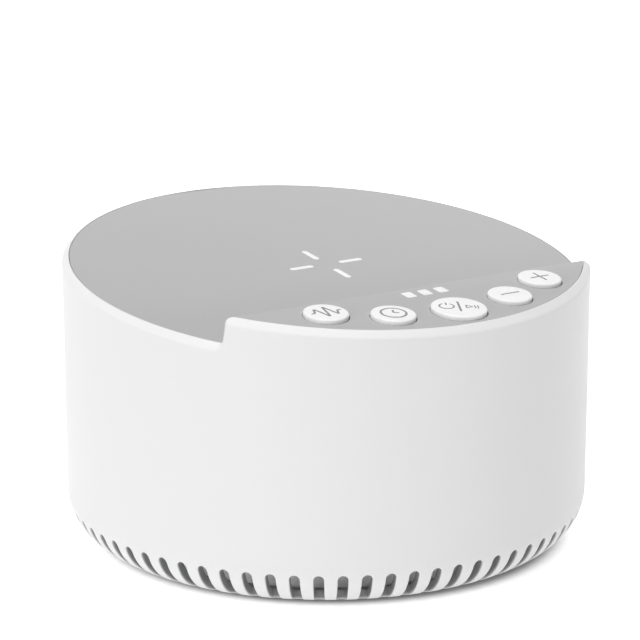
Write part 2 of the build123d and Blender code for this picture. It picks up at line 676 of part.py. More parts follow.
def small_screw(length):
    """Screw that is driven upwards."""
    return Rot(180, 0, 0) * pan_screw(SMALL_SCREW_R, length, SMALL_HEAD_R, SMALL_HEAD_H)


def key_board_screws():
    screw = small_screw(SMALL_SCREW_L)
    return group(on_deck(u, v, KEY_BOARD_UNDER) * screw for u, v in PILLARS)


def window_lens():
    """Light guide: a plate under the ledge, a pad in each window and a leg over each light."""
    width = WINDOW_US[-1] - WINDOW_US[0] + WINDOW_W + 2 * LENS_RIM
    body = block(width, WINDOW_L + 2 * LENS_RIM, UNDER_LEDGE - LENS_T, UNDER_LEDGE)
    pad = Pos(0, 0, UNDER_LEDGE - LENS_T) * extrude(window_outline(0), amount=LENS_T + FASCIA_T)
    leg = block(LENS_LEG_W, WINDOW_L, KEY_BOARD_TOP + LED_H + LED_GAP, UNDER_LEDGE)
    for u in WINDOW_US:
        body += Pos(u, 0, 0) * pad
        body += Pos(u, 0, 0) * leg
    return on_deck(0, WINDOW_V) * body


def indicator_leds():
    light = block(LED_W, LED_L, KEY_BOARD_TOP, KEY_BOARD_TOP + LED_H)
    return group(on_deck(u, WINDOW_V) * light for u in WINDOW_US)


# ---- charging coil ----------------------------------------------------------------------------------
def charging_coil():
    return DECK * ring(COIL_R, COIL_BORE_R, UNDER_PLATE - COIL_T, UNDER_PLATE)


def ferrite_sheet():
    return DECK * disc(FERRITE_R, FERRITE_W, UNDER_PLATE - COIL_T)


def coil_bracket():
    """Tray that presses the ferrite and coil against the plate, notched for the leads."""
    body = disc(TRAY_R, TRAY_UNDER, FERRITE_W)
    body += ring(TRAY_R, TRAY_R - TRAY_WALL, TRAY_UNDER, UNDER_PLATE - TRAY_TOP_GAP)
    body -= Pos(0, TRAY_R, 0) * block(TRAY_LEAD_NOTCH, 4 * TRAY_WALL, FERRITE_W, REACH)
    neck_l = TRAY_SCREW_CIRCLE_R - TRAY_R + TRAY_WALL
    ear = disc(TRAY_EAR_R, TRAY_UNDER, FERRITE_W)
    ear += Pos(-neck_l / 2, 0, 0) * block(neck_l, 2 * TRAY_EAR_R, TRAY_UNDER, FERRITE_W)
    hole = disc(SMALL_SCREW_R + CLEAR_GAP, TRAY_UNDER - PAST, FERRITE_W + PAST)
    for angle in CORNERS:
        body += polar(TRAY_SCREW_CIRCLE_R, angle) * ear
        body -= polar(TRAY_SCREW_CIRCLE_R, angle) * hole
    return DECK * body


def coil_bracket_screws():
    """Short screws that end level with the plate's underside."""
    screw = Pos(0, 0, TRAY_UNDER) * small_screw(UNDER_PLATE - TRAY_UNDER)
    return group(DECK * polar(TRAY_SCREW_CIRCLE_R, angle) * screw for angle in CORNERS)


def coil_lead(side):
    """Lead from the coil's edge out through the notch and down to the main board."""
    half = side * LEAD_PITCH / 2
    depth = UNDER_PLATE - COIL_T / 2
    rim_v = sqrt(COIL_R ** 2 - (abs(half) - LEAD_D / 2) ** 2)
    start = deck_point(half, rim_v, depth)
    out = deck_point(half, rim_v + LEAD_OUT, depth)
    drop = out.Z - BOARD_TOP
    route = [
        start,
        out,
        Vector(half + side * 0.43 * LEAD_SPREAD, out.Y + 0.71 * LEAD_REACH, out.Z - 0.18 * drop),
        Vector(half + side * LEAD_SPREAD, out.Y + LEAD_REACH, out.Z - 0.62 * drop),
        Vector(half + side * LEAD_SPREAD, out.Y + LEAD_REACH, BOARD_TOP),
    ]
    return bent_tube(route, LEAD_D)


# ---- main board -------------------------------------------------------------------------------------
def main_board():
    """Round board on the posts, with a tongue that carries the rear inlet."""
    body = disc(BOARD_R, BOARD_Z, BOARD_TOP)
    tongue_end = INNER_R - BOARD_TONGUE_GAP
    tongue = Pos(0, tongue_end / 2, 0) * block(BOARD_TONGUE_W, tongue_end, BOARD_Z, BOARD_TOP)
    body += tongue
    hole = disc(BOARD_SCREW_R + CLEAR_GAP, BOARD_Z - PAST, BOARD_TOP + PAST)
    for angle in CORNERS:
        body -= polar(POST_CIRCLE_R, angle) * hole
    return body


def main_board_screws():
    screw = pan_screw(BOARD_SCREW_R, BOARD_SCREW_L - SCREW_END_GAP, BOARD_HEAD_R, BOARD_HEAD_H)
    return group(polar(POST_CIRCLE_R, a) * Pos(0, 0, BOARD_TOP) * screw for a in CORNERS)


def board_chip(x, y, width, depth, height):
    """Flat moulded package on the main board."""
    body = block(width, depth, BOARD_TOP, BOARD_TOP + height)
    body = chamfer(body.edges().group_by(Axis.Z)[-1], CHIP_BEVEL * height)
    return Pos(x, y, 0) * body


def power_inductor():
    body = block(INDUCTOR_W, INDUCTOR_W, BOARD_TOP, BOARD_TOP + INDUCTOR_H)
    body = chamfer(body.edges().filter_by(Axis.Z), INDUCTOR_BEVEL)
    return Pos(*INDUCTOR_PLACE) * body


def filter_capacitors():
    """Two upright can capacitors."""
    can = disc(CAN_R, BOARD_TOP, BOARD_TOP + CAN_H)
    can = fillet(can.edges().group_by(Axis.Z)[-1], CAN_EDGE_R)
    return group(Pos(*place) * can for place in CAN_PLACES)


def usb_jack():
    """Type C receptacle: a thin shell with a tongue, its mouth just inside the drum's face."""
    mouth = Plane(origin=(0, USB_MOUTH_Y, USB_Z), x_dir=(1, 0, 0), z_dir=(0, -1, 0))
    shell = extrude(mouth * usb_outline(0), amount=USB_L)
    shell -= extrude(mouth * usb_outline(-USB_SHEET), amount=USB_DEPTH)
    tongue_plane = mouth.offset(USB_DEPTH - USB_TONGUE_L)
    tongue = extrude(tongue_plane * Rectangle(USB_TONGUE_W, USB_TONGUE_T), amount=USB_TONGUE_L + ROOT)
    return shell + tongue


def speaker_socket():
    return Pos(SOCKET_X, 0, 0) * block(SOCKET_D, SOCKET_W, BOARD_Z - SOCKET_H, BOARD_Z)


def ribbon_sockets():
    """Flat-cable sockets, one under the key board and one on the main board, mouths to the back."""
    size = (RIBBON_SOCKET_W, RIBBON_SOCKET_L)
    upper = on_deck(0, RIBBON_SOCKET_V) * block(*size, KEY_BOARD_UNDER - RIBBON_SOCKET_H, KEY_BOARD_UNDER)
    lower_y = ribbon_mouth().Y - RIBBON_SOCKET_L / 2
    lower = Pos(0, lower_y, 0) * block(*size, BOARD_TOP, BOARD_TOP + RIBBON_SOCKET_H)
    return group((upper, lower))


def ribbon_mouth():
    """Centre of the upper socket's mouth."""
    return deck_point(0, RIBBON_SOCKET_V + RIBBON_SOCKET_L / 2, KEY_BOARD_UNDER - RIBBON_SOCKET_H / 2)


def key_ribbon():
    """Flat cable that loops back from one socket into the other."""
    start = ribbon_mouth()
    out = start + DECK.y_dir * RIBBON_LOOP
    low_z = BOARD_TOP + RIBBON_SOCKET_H / 2
    low = Vector(0, out.Y, low_z)
    end = Vector(0, start.Y, low_z)
    path = FilletPolyline(start, out, low, end, radius=RIBBON_BEND_R)
    section = Plane(origin=start, x_dir=(1, 0, 0), z_dir=path % 0) * Rectangle(RIBBON_W, RIBBON_T)
    return sweep(section, path=path)


# ---- driver -----------------------------------------------------------------------------------------
def speaker_baffle():
    """Plate between the cover's tubes and the housing's webs; the driver is screwed to it."""
    body = disc(CURB_R, BAFFLE_Z, BAFFLE_TOP)
    boss = disc(DRIVER_BOSS_R, BAFFLE_Z - DRIVER_BOSS_H, BAFFLE_TOP)
    for angle in CORNERS:
        body += polar(DRIVER_SCREW_CIRCLE_R, angle) * boss
    body -= disc(DRIVER_MOUTH_R + BAFFLE_MOUTH_MARGIN, 0, REACH)
    for angle in CORNERS:
        body -= polar(POST_CIRCLE_R, angle) * disc(BORE_R, 0, REACH)
        body -= polar(DRIVER_SCREW_CIRCLE_R, angle) * disc(DRIVER_SCREW_R + SHANK_GAP, 0, REACH)
    return body


def flange_holes(body):
    """The body with the driver's four screw holes through it."""
    for angle in CORNERS:
        body -= polar(DRIVER_SCREW_CIRCLE_R, angle) * disc(DRIVER_SCREW_R + CLEAR_GAP, 0, REACH)
    return body


def speaker_gasket():
    return flange_holes(ring(DRIVER_R, DRIVER_MOUTH_R + BAFFLE_MOUTH_MARGIN, BAFFLE_TOP, DRIVER_Z))


def speaker_basket():
    """Pressed steel frame: flange, sloping wall with four windows, and the back disc."""
    seat_outer = BASKET_BACK_R - BASKET_WALL
    back_inner = MAGNET_BORE_R - ROOT
    points = [
        (DRIVER_MOUTH_R, 0), (DRIVER_R, 0), (DRIVER_R, FLANGE_T),
        (SURROUND_R + SURROUND_GAP + BASKET_WALL_FOOT, FLANGE_T),
        (BASKET_BACK_R, SPIDER_SEAT_H), (BASKET_BACK_R, BASKET_H),
        (back_inner, BASKET_H), (back_inner, BASKET_H - BASKET_WALL),
        (SPIDER_SEAT_R, BASKET_H - BASKET_WALL), (SPIDER_SEAT_R, SPIDER_SEAT_H),
        (seat_outer, SPIDER_SEAT_H), (SURROUND_R + SURROUND_GAP, FLANGE_T), (DRIVER_MOUTH_R, FLANGE_T),
    ]
    body = turned(*points)
    tab_l = TAB_REACH + ROOT
    body += Pos(DRIVER_R - ROOT + tab_l / 2, 0, 0) * block(tab_l, TAB_W, 0, FLANGE_T)
    window = block(DRIVER_R, BASKET_WINDOW_W, BASKET_WINDOW_LOW, BASKET_WINDOW_HIGH)
    for angle in CORNERS:
        body -= polar(BASKET_WINDOW_IN + DRIVER_R / 2, angle) * window
    return flange_holes(Pos(0, 0, DRIVER_Z) * body)


def speaker_screws():
    screw = pan_screw(DRIVER_SCREW_R, DRIVER_SCREW_L, DRIVER_HEAD_R, DRIVER_HEAD_H)
    seat = Pos(0, 0, DRIVER_Z + FLANGE_T)
    return group(polar(DRIVER_SCREW_CIRCLE_R, a) * seat * screw for a in CORNERS)


def speaker_top_plate():
    return ring(TOP_PLATE_R, WINDING_R + MOTOR_GAP, MOTOR_Z, MAGNET_Z)


def speaker_magnet():
    body = ring(MAGNET_R, MAGNET_BORE_R, MAGNET_Z, YOKE_Z)
    return chamfer(body.edges().filter_by(GeomType.CIRCLE).group_by(SortBy.RADIUS)[-1], MAGNET_BEVEL)


def speaker_yoke():
    """Back plate and the pole inside the voice coil, in one piece."""
    return disc(TOP_PLATE_R, YOKE_Z, YOKE_Z + YOKE_T) + disc(POLE_R, MOTOR_Z, YOKE_Z + ROOT)


def speaker_cone():
    """Paper cone, glued to the surround at its rim and to the voice coil at its neck."""
    rim = SURROUND_T + FLANGE_T
    back = CONE_RIM_R - CONE_LIP + CONE_T
    body = turned((CONE_RIM_R, rim), (CONE_RIM_R, rim + CONE_T), (back, rim + CONE_T),
                  (FORMER_R, CONE_NECK_H + CONE_T), (FORMER_R, CONE_NECK_H), (CONE_RIM_R - CONE_LIP, rim))
    return Pos(0, 0, DRIVER_Z) * body


def cone_front(radius):
    """Height of the cone's front face over the flange's front, at a radius."""
    rim = SURROUND_T + FLANGE_T
    outer = CONE_RIM_R - CONE_LIP
    return rim + (CONE_NECK_H - rim) * (outer - radius) / (outer - FORMER_R)


def speaker_dust_cap():
    """Thin dome over the voice coil, bulging to the front."""
    edge = cone_front(DUST_CAP_R)
    sphere_r = (DUST_CAP_R ** 2 + DUST_CAP_RISE ** 2) / (2 * DUST_CAP_RISE)
    centre = Pos(0, 0, edge - DUST_CAP_RISE + sphere_r)
    dome = centre * Sphere(sphere_r) - centre * Sphere(sphere_r - CONE_T)
    dome &= disc(DUST_CAP_R, edge - DUST_CAP_RISE - PAST, edge)
    return Pos(0, 0, DRIVER_Z) * dome


def speaker_voice_coil():
    """Former with its windings in the magnet's gap."""
    wire_top = MAGNET_Z + COIL_OVERHANG + CONE_TRAVEL
    former_low = DRIVER_Z + CONE_NECK_H - FORMER_PAST_NECK
    former = ring(FORMER_R, COIL_FORMER_R, former_low, wire_top)
    return former + ring(WINDING_R, COIL_FORMER_R, wire_top - COIL_WIRE_H, wire_top)


def speaker_surround():
    """Rubber half roll between the flange's inner face and the cone's rim."""
    low, high = FLANGE_T, FLANGE_T + SURROUND_T
    roll_out = DRIVER_MOUTH_R - SURROUND_MOUTH_GAP
    roll_in = roll_out - 2 * SURROUND_ROLL_R
    middle = (roll_out + roll_in) / 2
    lip = CONE_RIM_R - CONE_LIP
    wall = SURROUND_T
    outline = [
        Line(at(SURROUND_R, low), at(roll_out, low)),
        ThreePointArc(at(roll_out, low), at(middle, low - SURROUND_ROLL_R), at(roll_in, low)),
        Polyline(at(roll_in, low), at(lip, low), at(lip, high),
                 at(roll_in + wall, high), at(roll_in + wall, low)),
        ThreePointArc(at(roll_in + wall, low), at(middle, low - SURROUND_ROLL_R + wall),
                      at(roll_out - wall, low)),
        Polyline(at(roll_out - wall, low), at(roll_out - wall, high),
                 at(SURROUND_R, high), at(SURROUND_R, low)),
    ]
    return Pos(0, 0, DRIVER_Z) * revolve(make_face(outline), Axis.Z)


def speaker_spider():
    """Corrugated cloth disc that centres the voice coil: a wave with flat edges."""
    inner = FORMER_R + SPIDER_GAP
    outer = BASKET_BACK_R - BASKET_WALL - SPIDER_SEAT_GAP
    rest = SPIDER_SEAT_H - SPIDER_T
    wave_start = inner + SPIDER_FLAT
    wave_end = SPIDER_SEAT_R
    steps = 8 * SPIDER_WAVES
    middle = [
        (wave_start + (wave_end - wave_start) * i / steps,
         rest - SPIDER_WAVE * (1 - cos(radians(360 * SPIDER_WAVES * i / steps))) / 2)
        for i in range(steps + 1)
    ]
    lower = [(inner, rest), *middle, (outer, rest)]
    upper = [(r, z + SPIDER_T) for r, z in reversed(lower)]
    return Pos(0, 0, DRIVER_Z) * turned(*lower, *upper)


def speaker_terminal_strip():
    base = DRIVER_Z + FLANGE_T
    return Pos(TERMINAL_X, 0, 0) * block(STRIP_L, TAB_W, base, base + STRIP_T)


def speaker_terminals():
    base = DRIVER_Z + FLANGE_T + STRIP_T
    lug = block(LUG_L, LUG_W, base, base + LUG_T)
    return group(Pos(TERMINAL_X, side * LUG_PITCH / 2, 0) * lug for side in (-1, 1))


def speaker_wire(side):
    """Wire from a terminal up into the socket under the main board."""
    low = DRIVER_Z + FLANGE_T + STRIP_T + LUG_T
    high = BOARD_Z - SOCKET_H
    rise = high - low
    y = side * LUG_PITCH / 2
    y_top = side * WIRE_D
    route = [
        (TERMINAL_X, y, low),
        (TERMINAL_X, y, low + 0.21 * rise),
        (TERMINAL_X + WIRE_BOW, 1.08 * y, low + 0.52 * rise),
        (SOCKET_X, y_top, low + 0.79 * rise),
        (SOCKET_X, y_top, high),
    ]
    return bent_tube(route, WIRE_D)


# ---- all pieces -------------------------------------------------------------------------------------
def all_nodes():
    nodes = {
        "outer_shell": outer_shell(),
        "base_cover": base_cover(),
        "rubber_feet": rubber_feet(),
        "base_screws": base_screws(),
        "dust_screen": dust_screen(),
        "top_fascia": top_fascia(),
        "window_lens": window_lens(),
        "indicator_leds": indicator_leds(),
        "key_board": key_board(),
        "key_board_screws": key_board_screws(),
        "tact_switches": tact_switches(),
        "charging_coil": charging_coil(),
        "ferrite_sheet": ferrite_sheet(),
        "coil_bracket": coil_bracket(),
        "coil_bracket_screws": coil_bracket_screws(),
        "coil_lead_left": coil_lead(-1),
        "coil_lead_right": coil_lead(1),
        "main_board": main_board(),
        "main_board_screws": main_board_screws(),
        "power_inductor": power_inductor(),
        "filter_capacitors": filter_capacitors(),
        "usb_jack": usb_jack(),
        "speaker_socket": speaker_socket(),
        "ribbon_sockets": ribbon_sockets(),
        "key_ribbon": key_ribbon(),
        "speaker_baffle": speaker_baffle(),
        "speaker_gasket": speaker_gasket(),
        "speaker_basket": speaker_basket(),
        "speaker_screws": speaker_screws(),
        "speaker_top_plate": speaker_top_plate(),
        "speaker_magnet": speaker_magnet(),
        "speaker_yoke": speaker_yoke(),
        "speaker_cone": speaker_cone(),
        "speaker_dust_cap": speaker_dust_cap(),
        "speaker_voice_coil": speaker_voice_coil(),
        "speaker_surround": speaker_surround(),
        "speaker_spider": speaker_spider(),
        "speaker_terminal_strip": speaker_terminal_strip(),
        "speaker_terminals": speaker_terminals(),
        "speaker_wire_red": speaker_wire(1),
        "speaker_wire_black": speaker_wire(-1),
    }
    for name, chip in CHIPS.items():
        nodes[name] = board_chip(*chip)
    for name, (u, v, cap_r) in KEY_PLACES.items():
        nodes[name + "_button"] = key_cap(u, v, cap_r)
        nodes[name + "_plunger"] = switch_plunger(u, v)
    return nodes


if __name__ == "__main__":
    os.makedirs("parts", exist_ok=True)
    for node, shape in all_nodes().items():
        export_step(shape, f"parts/{node}.step")
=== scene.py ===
"""Dressing of a bedside white noise machine: its surfaces, finishes and studio.

Laid out as an add-on and run as a script. Metres, +Z up, in the frame of the packed model: the feet
stand on z = 0, the keys face -Y, and the deck (the face of the charging plate) is tilted about X.
Deck coordinates: u along +X, v up the slope to the back, w straight out of the plate.
"""
import json
from math import cos, pi, radians, sin, tan

import bmesh
import bpy
import numpy as np
from bpy.props import FloatProperty, FloatVectorProperty, IntProperty, PointerProperty
from mathutils import Matrix, Vector


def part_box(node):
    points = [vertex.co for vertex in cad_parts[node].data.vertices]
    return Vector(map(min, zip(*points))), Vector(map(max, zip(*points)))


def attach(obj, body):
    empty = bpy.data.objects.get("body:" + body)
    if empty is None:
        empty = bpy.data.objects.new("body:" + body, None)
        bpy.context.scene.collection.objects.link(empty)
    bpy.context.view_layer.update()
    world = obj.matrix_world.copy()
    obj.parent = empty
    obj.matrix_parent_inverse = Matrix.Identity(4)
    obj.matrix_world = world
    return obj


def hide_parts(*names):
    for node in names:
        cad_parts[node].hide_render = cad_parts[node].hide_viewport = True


bl_info = {
    "name": "Bedside Sound Machine",
    "version": (1, 0, 0),
    "blender": (4, 5, 0),
    "location": "3D Viewport > Sidebar > Sound Machine",
    "description": "Builds the surfaces, finishes and studio of a bedside white noise machine",
    "category": "Add Mesh",
}

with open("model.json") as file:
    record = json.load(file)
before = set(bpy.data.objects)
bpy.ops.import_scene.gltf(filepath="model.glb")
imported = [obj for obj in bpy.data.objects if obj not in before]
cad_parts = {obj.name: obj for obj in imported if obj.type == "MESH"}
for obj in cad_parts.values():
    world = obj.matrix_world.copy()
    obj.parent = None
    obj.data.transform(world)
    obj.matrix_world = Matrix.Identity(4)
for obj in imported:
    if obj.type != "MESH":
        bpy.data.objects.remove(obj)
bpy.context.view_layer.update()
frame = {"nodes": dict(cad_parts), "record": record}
NODES = frame["nodes"]
RECORD_COLOURS = {m["slot"]: m["base_color"] for m in frame["record"]["materials"]}
SLOT_NODES = {}
for part in frame["record"]["subparts"]:
    SLOT_NODES.setdefault(part["material_slot"], []).append(part["node"])

MM = 0.001
KEY_BODIES = ("mode_key", "timer_key", "power_key", "volume_down_key", "volume_up_key")


# ---- settings ------------------------------------------------------------------------------------
def length(name, description, default):
    return FloatProperty(name=name, description=description, default=default, unit="LENGTH", precision=5)


def angle(name, description, default):
    return FloatProperty(name=name, description=description, default=radians(default), subtype="ANGLE")


def share(name, description, default, highest=1.0):
    return FloatProperty(name=name, description=description, default=default, min=0.0, max=highest)


def colour(name, description, default):
    return FloatVectorProperty(name=name, description=description, default=default, size=3, min=0.0,
                               max=1.0, subtype="COLOR")


class DrumSizes(bpy.types.PropertyGroup):
    """Sizes of the white drum and the deck on it"""
    radius: length("Radius", "Outside radius of the drum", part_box("outer_shell")[1].x)
    wall: length("Wall", "Thickness of the drum's wall", 2.0 * MM)
    underside: length("Underside", "Height of the underside over the table", 1.0 * MM)
    bottom_radius: length("Bottom radius", "Outside radius of the rounded bottom edge", 11.0 * MM)
    plate_height: length("Plate height", "Height of the plate on the drum's axis", 60.7 * MM)
    tilt: angle("Tilt", "Slope of the plate and the ledge", 7.0)
    step_distance: length("Step distance", "From the drum's axis to the step, along the plate", 32.4 * MM)
    ledge_rise: length("Ledge rise", "Height of the key ledge over the plate", 5.85 * MM)
    step_top_radius: length("Step top radius", "Rounding along the top of the step", 1.5 * MM)
    step_foot_radius: length("Step foot radius", "Rounding along the foot of the step", 0.6 * MM)
    rim_bevel: length("Rim bevel", "Bevel round the rim's outer edge", 1.35 * MM)
    rim_wall: length("Rim wall", "Wall left outside the grey fascia", 1.55 * MM)
    seat_depth: length("Seat depth", "Depth of the fascia's seat under the rim", 2.05 * MM)
    fascia_drop: length("Fascia drop", "Fascia's face below the rim", 0.05 * MM)
    slot_count: IntProperty(name="Slots", description="Sound slots round the bottom edge", default=72)
    slot_width: length("Slot width", "Width of a sound slot", 2.15 * MM)
    slot_top: length("Slot top", "Top of a slot over the underside", 8.3 * MM)
    slot_inner: length("Slot inner end", "Radius at which a slot ends under the drum", 49.0 * MM)
    slot_edge: length("Slot edge", "Rounding of a slot's outer edge", 0.2 * MM)


class InletSizes(bpy.types.PropertyGroup):
    """Sizes of the hole for the power inlet"""
    height: length("Height", "Height of the inlet's middle", 46.63 * MM)
    half_width: length("Half width", "Half the width of the hole", 4.82 * MM)
    half_height: length("Half height", "Half the height of the hole", 1.98 * MM)
    corner: length("Corner radius", "Corner radius of the hole", 1.65 * MM)
    edge: length("Edge", "Rounding of the hole's outer edge", 0.3 * MM)


class KeySizes(bpy.types.PropertyGroup):
    """Sizes of the five round keys"""
    small_radius: length("Small key radius", "Radius of the four small caps", 4.65 * MM)
    power_radius: length("Power key radius", "Radius of the power cap", 5.8 * MM)
    face: length("Cap height", "Middle of a cap's face over the plate", 6.8 * MM)
    crown: length("Crown", "Rise of a cap's face over its shoulder", 0.12 * MM)
    edge: length("Edge radius", "Rounding of a cap's edge", 0.35 * MM)
    flange_top: length("Flange top", "Upper side of a cap's flange over the plate", 3.75 * MM)
    flange_thickness: length("Flange thickness", "Thickness of a cap's flange", 0.9 * MM)
    flange_reach: length("Flange reach", "Flange outside the cap", 0.68 * MM)
    stem_radius: length("Stem radius", "Radius of the stem under a cap", 1.5 * MM)
    stem_end: length("Stem end", "Lower end of the stem over the plate", 1.6 * MM)
    symbol_line: length("Symbol line", "Width of the printed lines", 0.46 * MM)


class MarkSizes(bpy.types.PropertyGroup):
    """Sizes of the printed charging mark"""
    inner: length("Inner end", "Where a stroke starts from the plate's middle", 3.4 * MM)
    outer: length("Outer end", "Where a stroke ends", 9.3 * MM)
    width: length("Width", "Width of a stroke", 1.38 * MM)
    print_height: length("Print height", "How far print stands on its surface", 0.015 * MM)


class Finishes(bpy.types.PropertyGroup):
    """Colours of what shows from outside"""
    housing: colour("Housing", "Moulded white of the drum", (0.86, 0.86, 0.86))
    fascia: colour("Fascia", "Grey of the plate and the ledge", (0.474, 0.474, 0.474))
    keys: colour("Keys", "White of the caps", (0.94, 0.94, 0.94))
    windows: colour("Windows", "White of the light guides", (0.95, 0.95, 0.95))
    mark: colour("Mark", "White print on the plate", (0.97, 0.97, 0.97))
    symbols: colour("Symbols", "Grey print on the caps", (0.24, 0.24, 0.24))
    screen: colour("Screen", "Cloth behind the slots", (0.96, 0.96, 0.96))
    cover: colour("Cover", "Moulded base cover", (0.83, 0.83, 0.83))


class StageSettings(bpy.types.PropertyGroup):
    """Camera, lamps and floor"""
    azimuth: angle("Azimuth", "Camera's angle round the drum", -33.27)
    elevation: angle("Elevation", "Camera's angle above the table", 14.55)
    roll: angle("Roll", "Camera's turn about its own axis", -0.09)
    distance: length("Distance", "Camera's distance from the aim point's plane", 0.5681)
    side: length("Side shift", "Aim point's place to the right of the axis", -1.40 * MM)
    lift: length("Lift", "Aim point's place above half height", 17.45 * MM)
    aim_height: length("Aim height", "Height on the axis that the shifts start from", 30.0 * MM)
    lens: FloatProperty(name="Lens", description="Focal length in millimetres", default=144.18)
    key_level: share("Key light", "Light of the large low lamp at the left front", 0.96, 9.0)
    key_turn: angle("Key turn", "Key light's angle to the left of the camera", 36.0)
    key_rise: angle("Key rise", "Key light's angle above the table", 14.0)
    key_spread: angle("Key spread", "Width of the cone that the key light comes from", 40.0)
    top_level: share("Top light", "Light of the lamp overhead", 1.85, 9.0)
    top_spread: angle("Top spread", "Width of the cone that the top light comes from", 50.0)
    sky: share("Sky", "Brightness of the room round the object", 0.28)
    floor_glow: share("Floor glow", "Light from inside the table, seen from the camera", 0.55)
    floor_bounce: share("Floor bounce", "Light from inside the table, on the object", 0.44)
    # floor shade and the glow span below paint a contact shadow under the drum, seen only from the camera
    floor_shade: share("Floor shade", "Floor's white close under the object, seen from the camera", 0.30)
    glow_start: length("Glow start", "Half width of the contact shadow's core", 48.2 * MM)
    glow_full: length("Glow full", "Half width of the whole contact shadow", 53.4 * MM)
    glow_shift: length("Glow shift", "Contact shadow's middle off the axis, away from the key light", MM)
    glow_squeeze: share("Glow squeeze", "Contact shadow's half width over its half depth", 1.05, 2.0)
    floor_colour: colour("Floor", "White of the table", (0.60, 0.60, 0.60))


# ---- arrays and meshes ---------------------------------------------------------------------------
def quads(rows, columns, close_rows=False, close_columns=False, start=0):
    """Corner numbers of the quads of a grid stored row by row: each quad joins two rows and two columns."""
    r = np.arange(rows if close_rows else rows - 1)
    c = np.arange(columns if close_columns else columns - 1)
    r, c = (a.ravel() for a in np.meshgrid(r, c, indexing="ij"))
    nr, nc = (r + 1) % rows, (c + 1) % columns
    return start + np.stack([r * columns + c, r * columns + nc, nr * columns + nc, nr * columns + c], 1)


class Surface:
    """Gathers grids of points, then welds them into one mesh."""

    def __init__(self):
        self.points, self.faces, self.count = [], [], 0

    def grid(self, points, close_rows=False, close_columns=False, leave_out=None):
        """Adds a (rows, columns, 3) grid; leave_out is a mask of the quads that aren't made."""
        points = np.asarray(points, float)
        rows, columns = points.shape[:2]
        faces = quads(rows, columns, close_rows, close_columns, self.count)
        if leave_out is not None:
            faces = faces[~leave_out.ravel()]
        self.points.append(points.reshape(-1, 3))
        self.faces.append(faces)
        self.count += rows * columns

    def piece(self, name, body, slot, crease=radians(32), replaces=(), weld=1e-6):
        """Welds the grids, turns the faces outwards, and makes the object that rides on the body."""
        points, faces = np.concatenate(self.points), np.concatenate(self.faces)
        mesh = bpy.data.meshes.new(name)
        mesh.vertices.add(len(points))
        mesh.vertices.foreach_set("co", points.astype(np.float32).ravel())
        mesh.loops.add(faces.size)
        mesh.loops.foreach_set("vertex_index", faces.astype(np.int32).ravel())
        mesh.polygons.add(len(faces))
        mesh.polygons.foreach_set("loop_start", np.arange(0, faces.size, 4, dtype=np.int32))
        mesh.update(calc_edges=True)
        return finish_piece(mesh, name, body, slot, crease, replaces, weld)


def finish_piece(mesh, name, body, slot, crease, replaces=(), weld=1e-6):
    """Merges doubles, turns the faces outwards, smooths them up to the crease and hangs the piece."""
    shape = bmesh.new()
    shape.from_mesh(mesh)
    bmesh.ops.remove_doubles(shape, verts=shape.verts, dist=weld)
    bmesh.ops.dissolve_degenerate(shape, edges=shape.edges, dist=weld / 10)
    bmesh.ops.recalc_face_normals(shape, faces=shape.faces)
    shape.to_mesh(mesh)
    shape.free()
    mesh.shade_smooth()
    mesh.set_sharp_from_angle(angle=crease)
    mesh.materials.append(finish(slot))
    piece = placed(name, mesh)
    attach(piece, body)
    if replaces:
        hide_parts(*replaces)
    return piece


def smoothed_copy(source, name, body, slot, crease=radians(30)):
    """Copy of a CAD node with its triangles merged and its normals weighted by area, in the node's place."""
    mesh = NODES[source].data.copy()
    mesh.materials.clear()
    piece = finish_piece(mesh, name, body, slot, crease, [source])
    weighted = piece.modifiers.new("Even shading", "WEIGHTED_NORMAL")
    weighted.mode = "FACE_AREA"
    weighted.weight = 100
    weighted.keep_sharp = True
    return piece


def revolved(outline, segments=96):
    """Grid of a (radius, height) outline turned about Z: (r sin t, -r cos t, z) for each angle t."""
    outline = np.asarray(outline, float)
    turn = np.linspace(0, 2 * pi, segments, endpoint=False)
    r, z = outline[:, :1], outline[:, 1:]
    return np.stack([r * np.sin(turn), -r * np.cos(turn), z + 0 * turn], -1)


def rounded(corners, radii, steps=6):
    """Outline through corners, each rounded by a quadratic curve that starts and ends its radius away."""
    corners = np.asarray(corners, float)
    out = [corners[0]]
    for before, here, after, radius in zip(corners, corners[1:], corners[2:], radii):
        if radius <= 0:
            out.append(here)
            continue
        start = here + (before - here) * radius / np.linalg.norm(before - here)
        end = here + (after - here) * radius / np.linalg.norm(after - here)
        t = np.linspace(0, 1, steps + 1)[:, None]
        out.extend((1 - t) ** 2 * start + 2 * t * (1 - t) * here + t ** 2 * end)
    out.append(corners[-1])
    return np.array(out)


def circle(centre, radius, turn):
    """Places on a circle at the given angles."""
    return np.stack([centre[0] + radius * np.cos(turn), centre[1] + radius * np.sin(turn)], -1)


def turned(points, turn):
    """Points, flat or with a height, turned about the origin."""
    points = np.array(points, float)
    c, s = cos(turn), sin(turn)
    x, y = points[..., 0], points[..., 1]
    points[..., 0], points[..., 1] = c * x - s * y, s * x + c * y
    return points


def placed(name, data):
    """New object of the data in the scene."""
    thing = bpy.data.objects.new(name, data)
    bpy.context.scene.collection.objects.link(thing)
    return thing


def on_deck(points, drum):
    """(u, v, w) to the frame: v and w are turned by the tilt about X, then lifted by the plate's height."""
    u, v, w = np.moveaxis(np.asarray(points, float), -1, 0)
    c, s = cos(drum.tilt), sin(drum.tilt)
    return np.stack([u, v * c - w * s, drum.plate_height + v * s + w * c], -1)


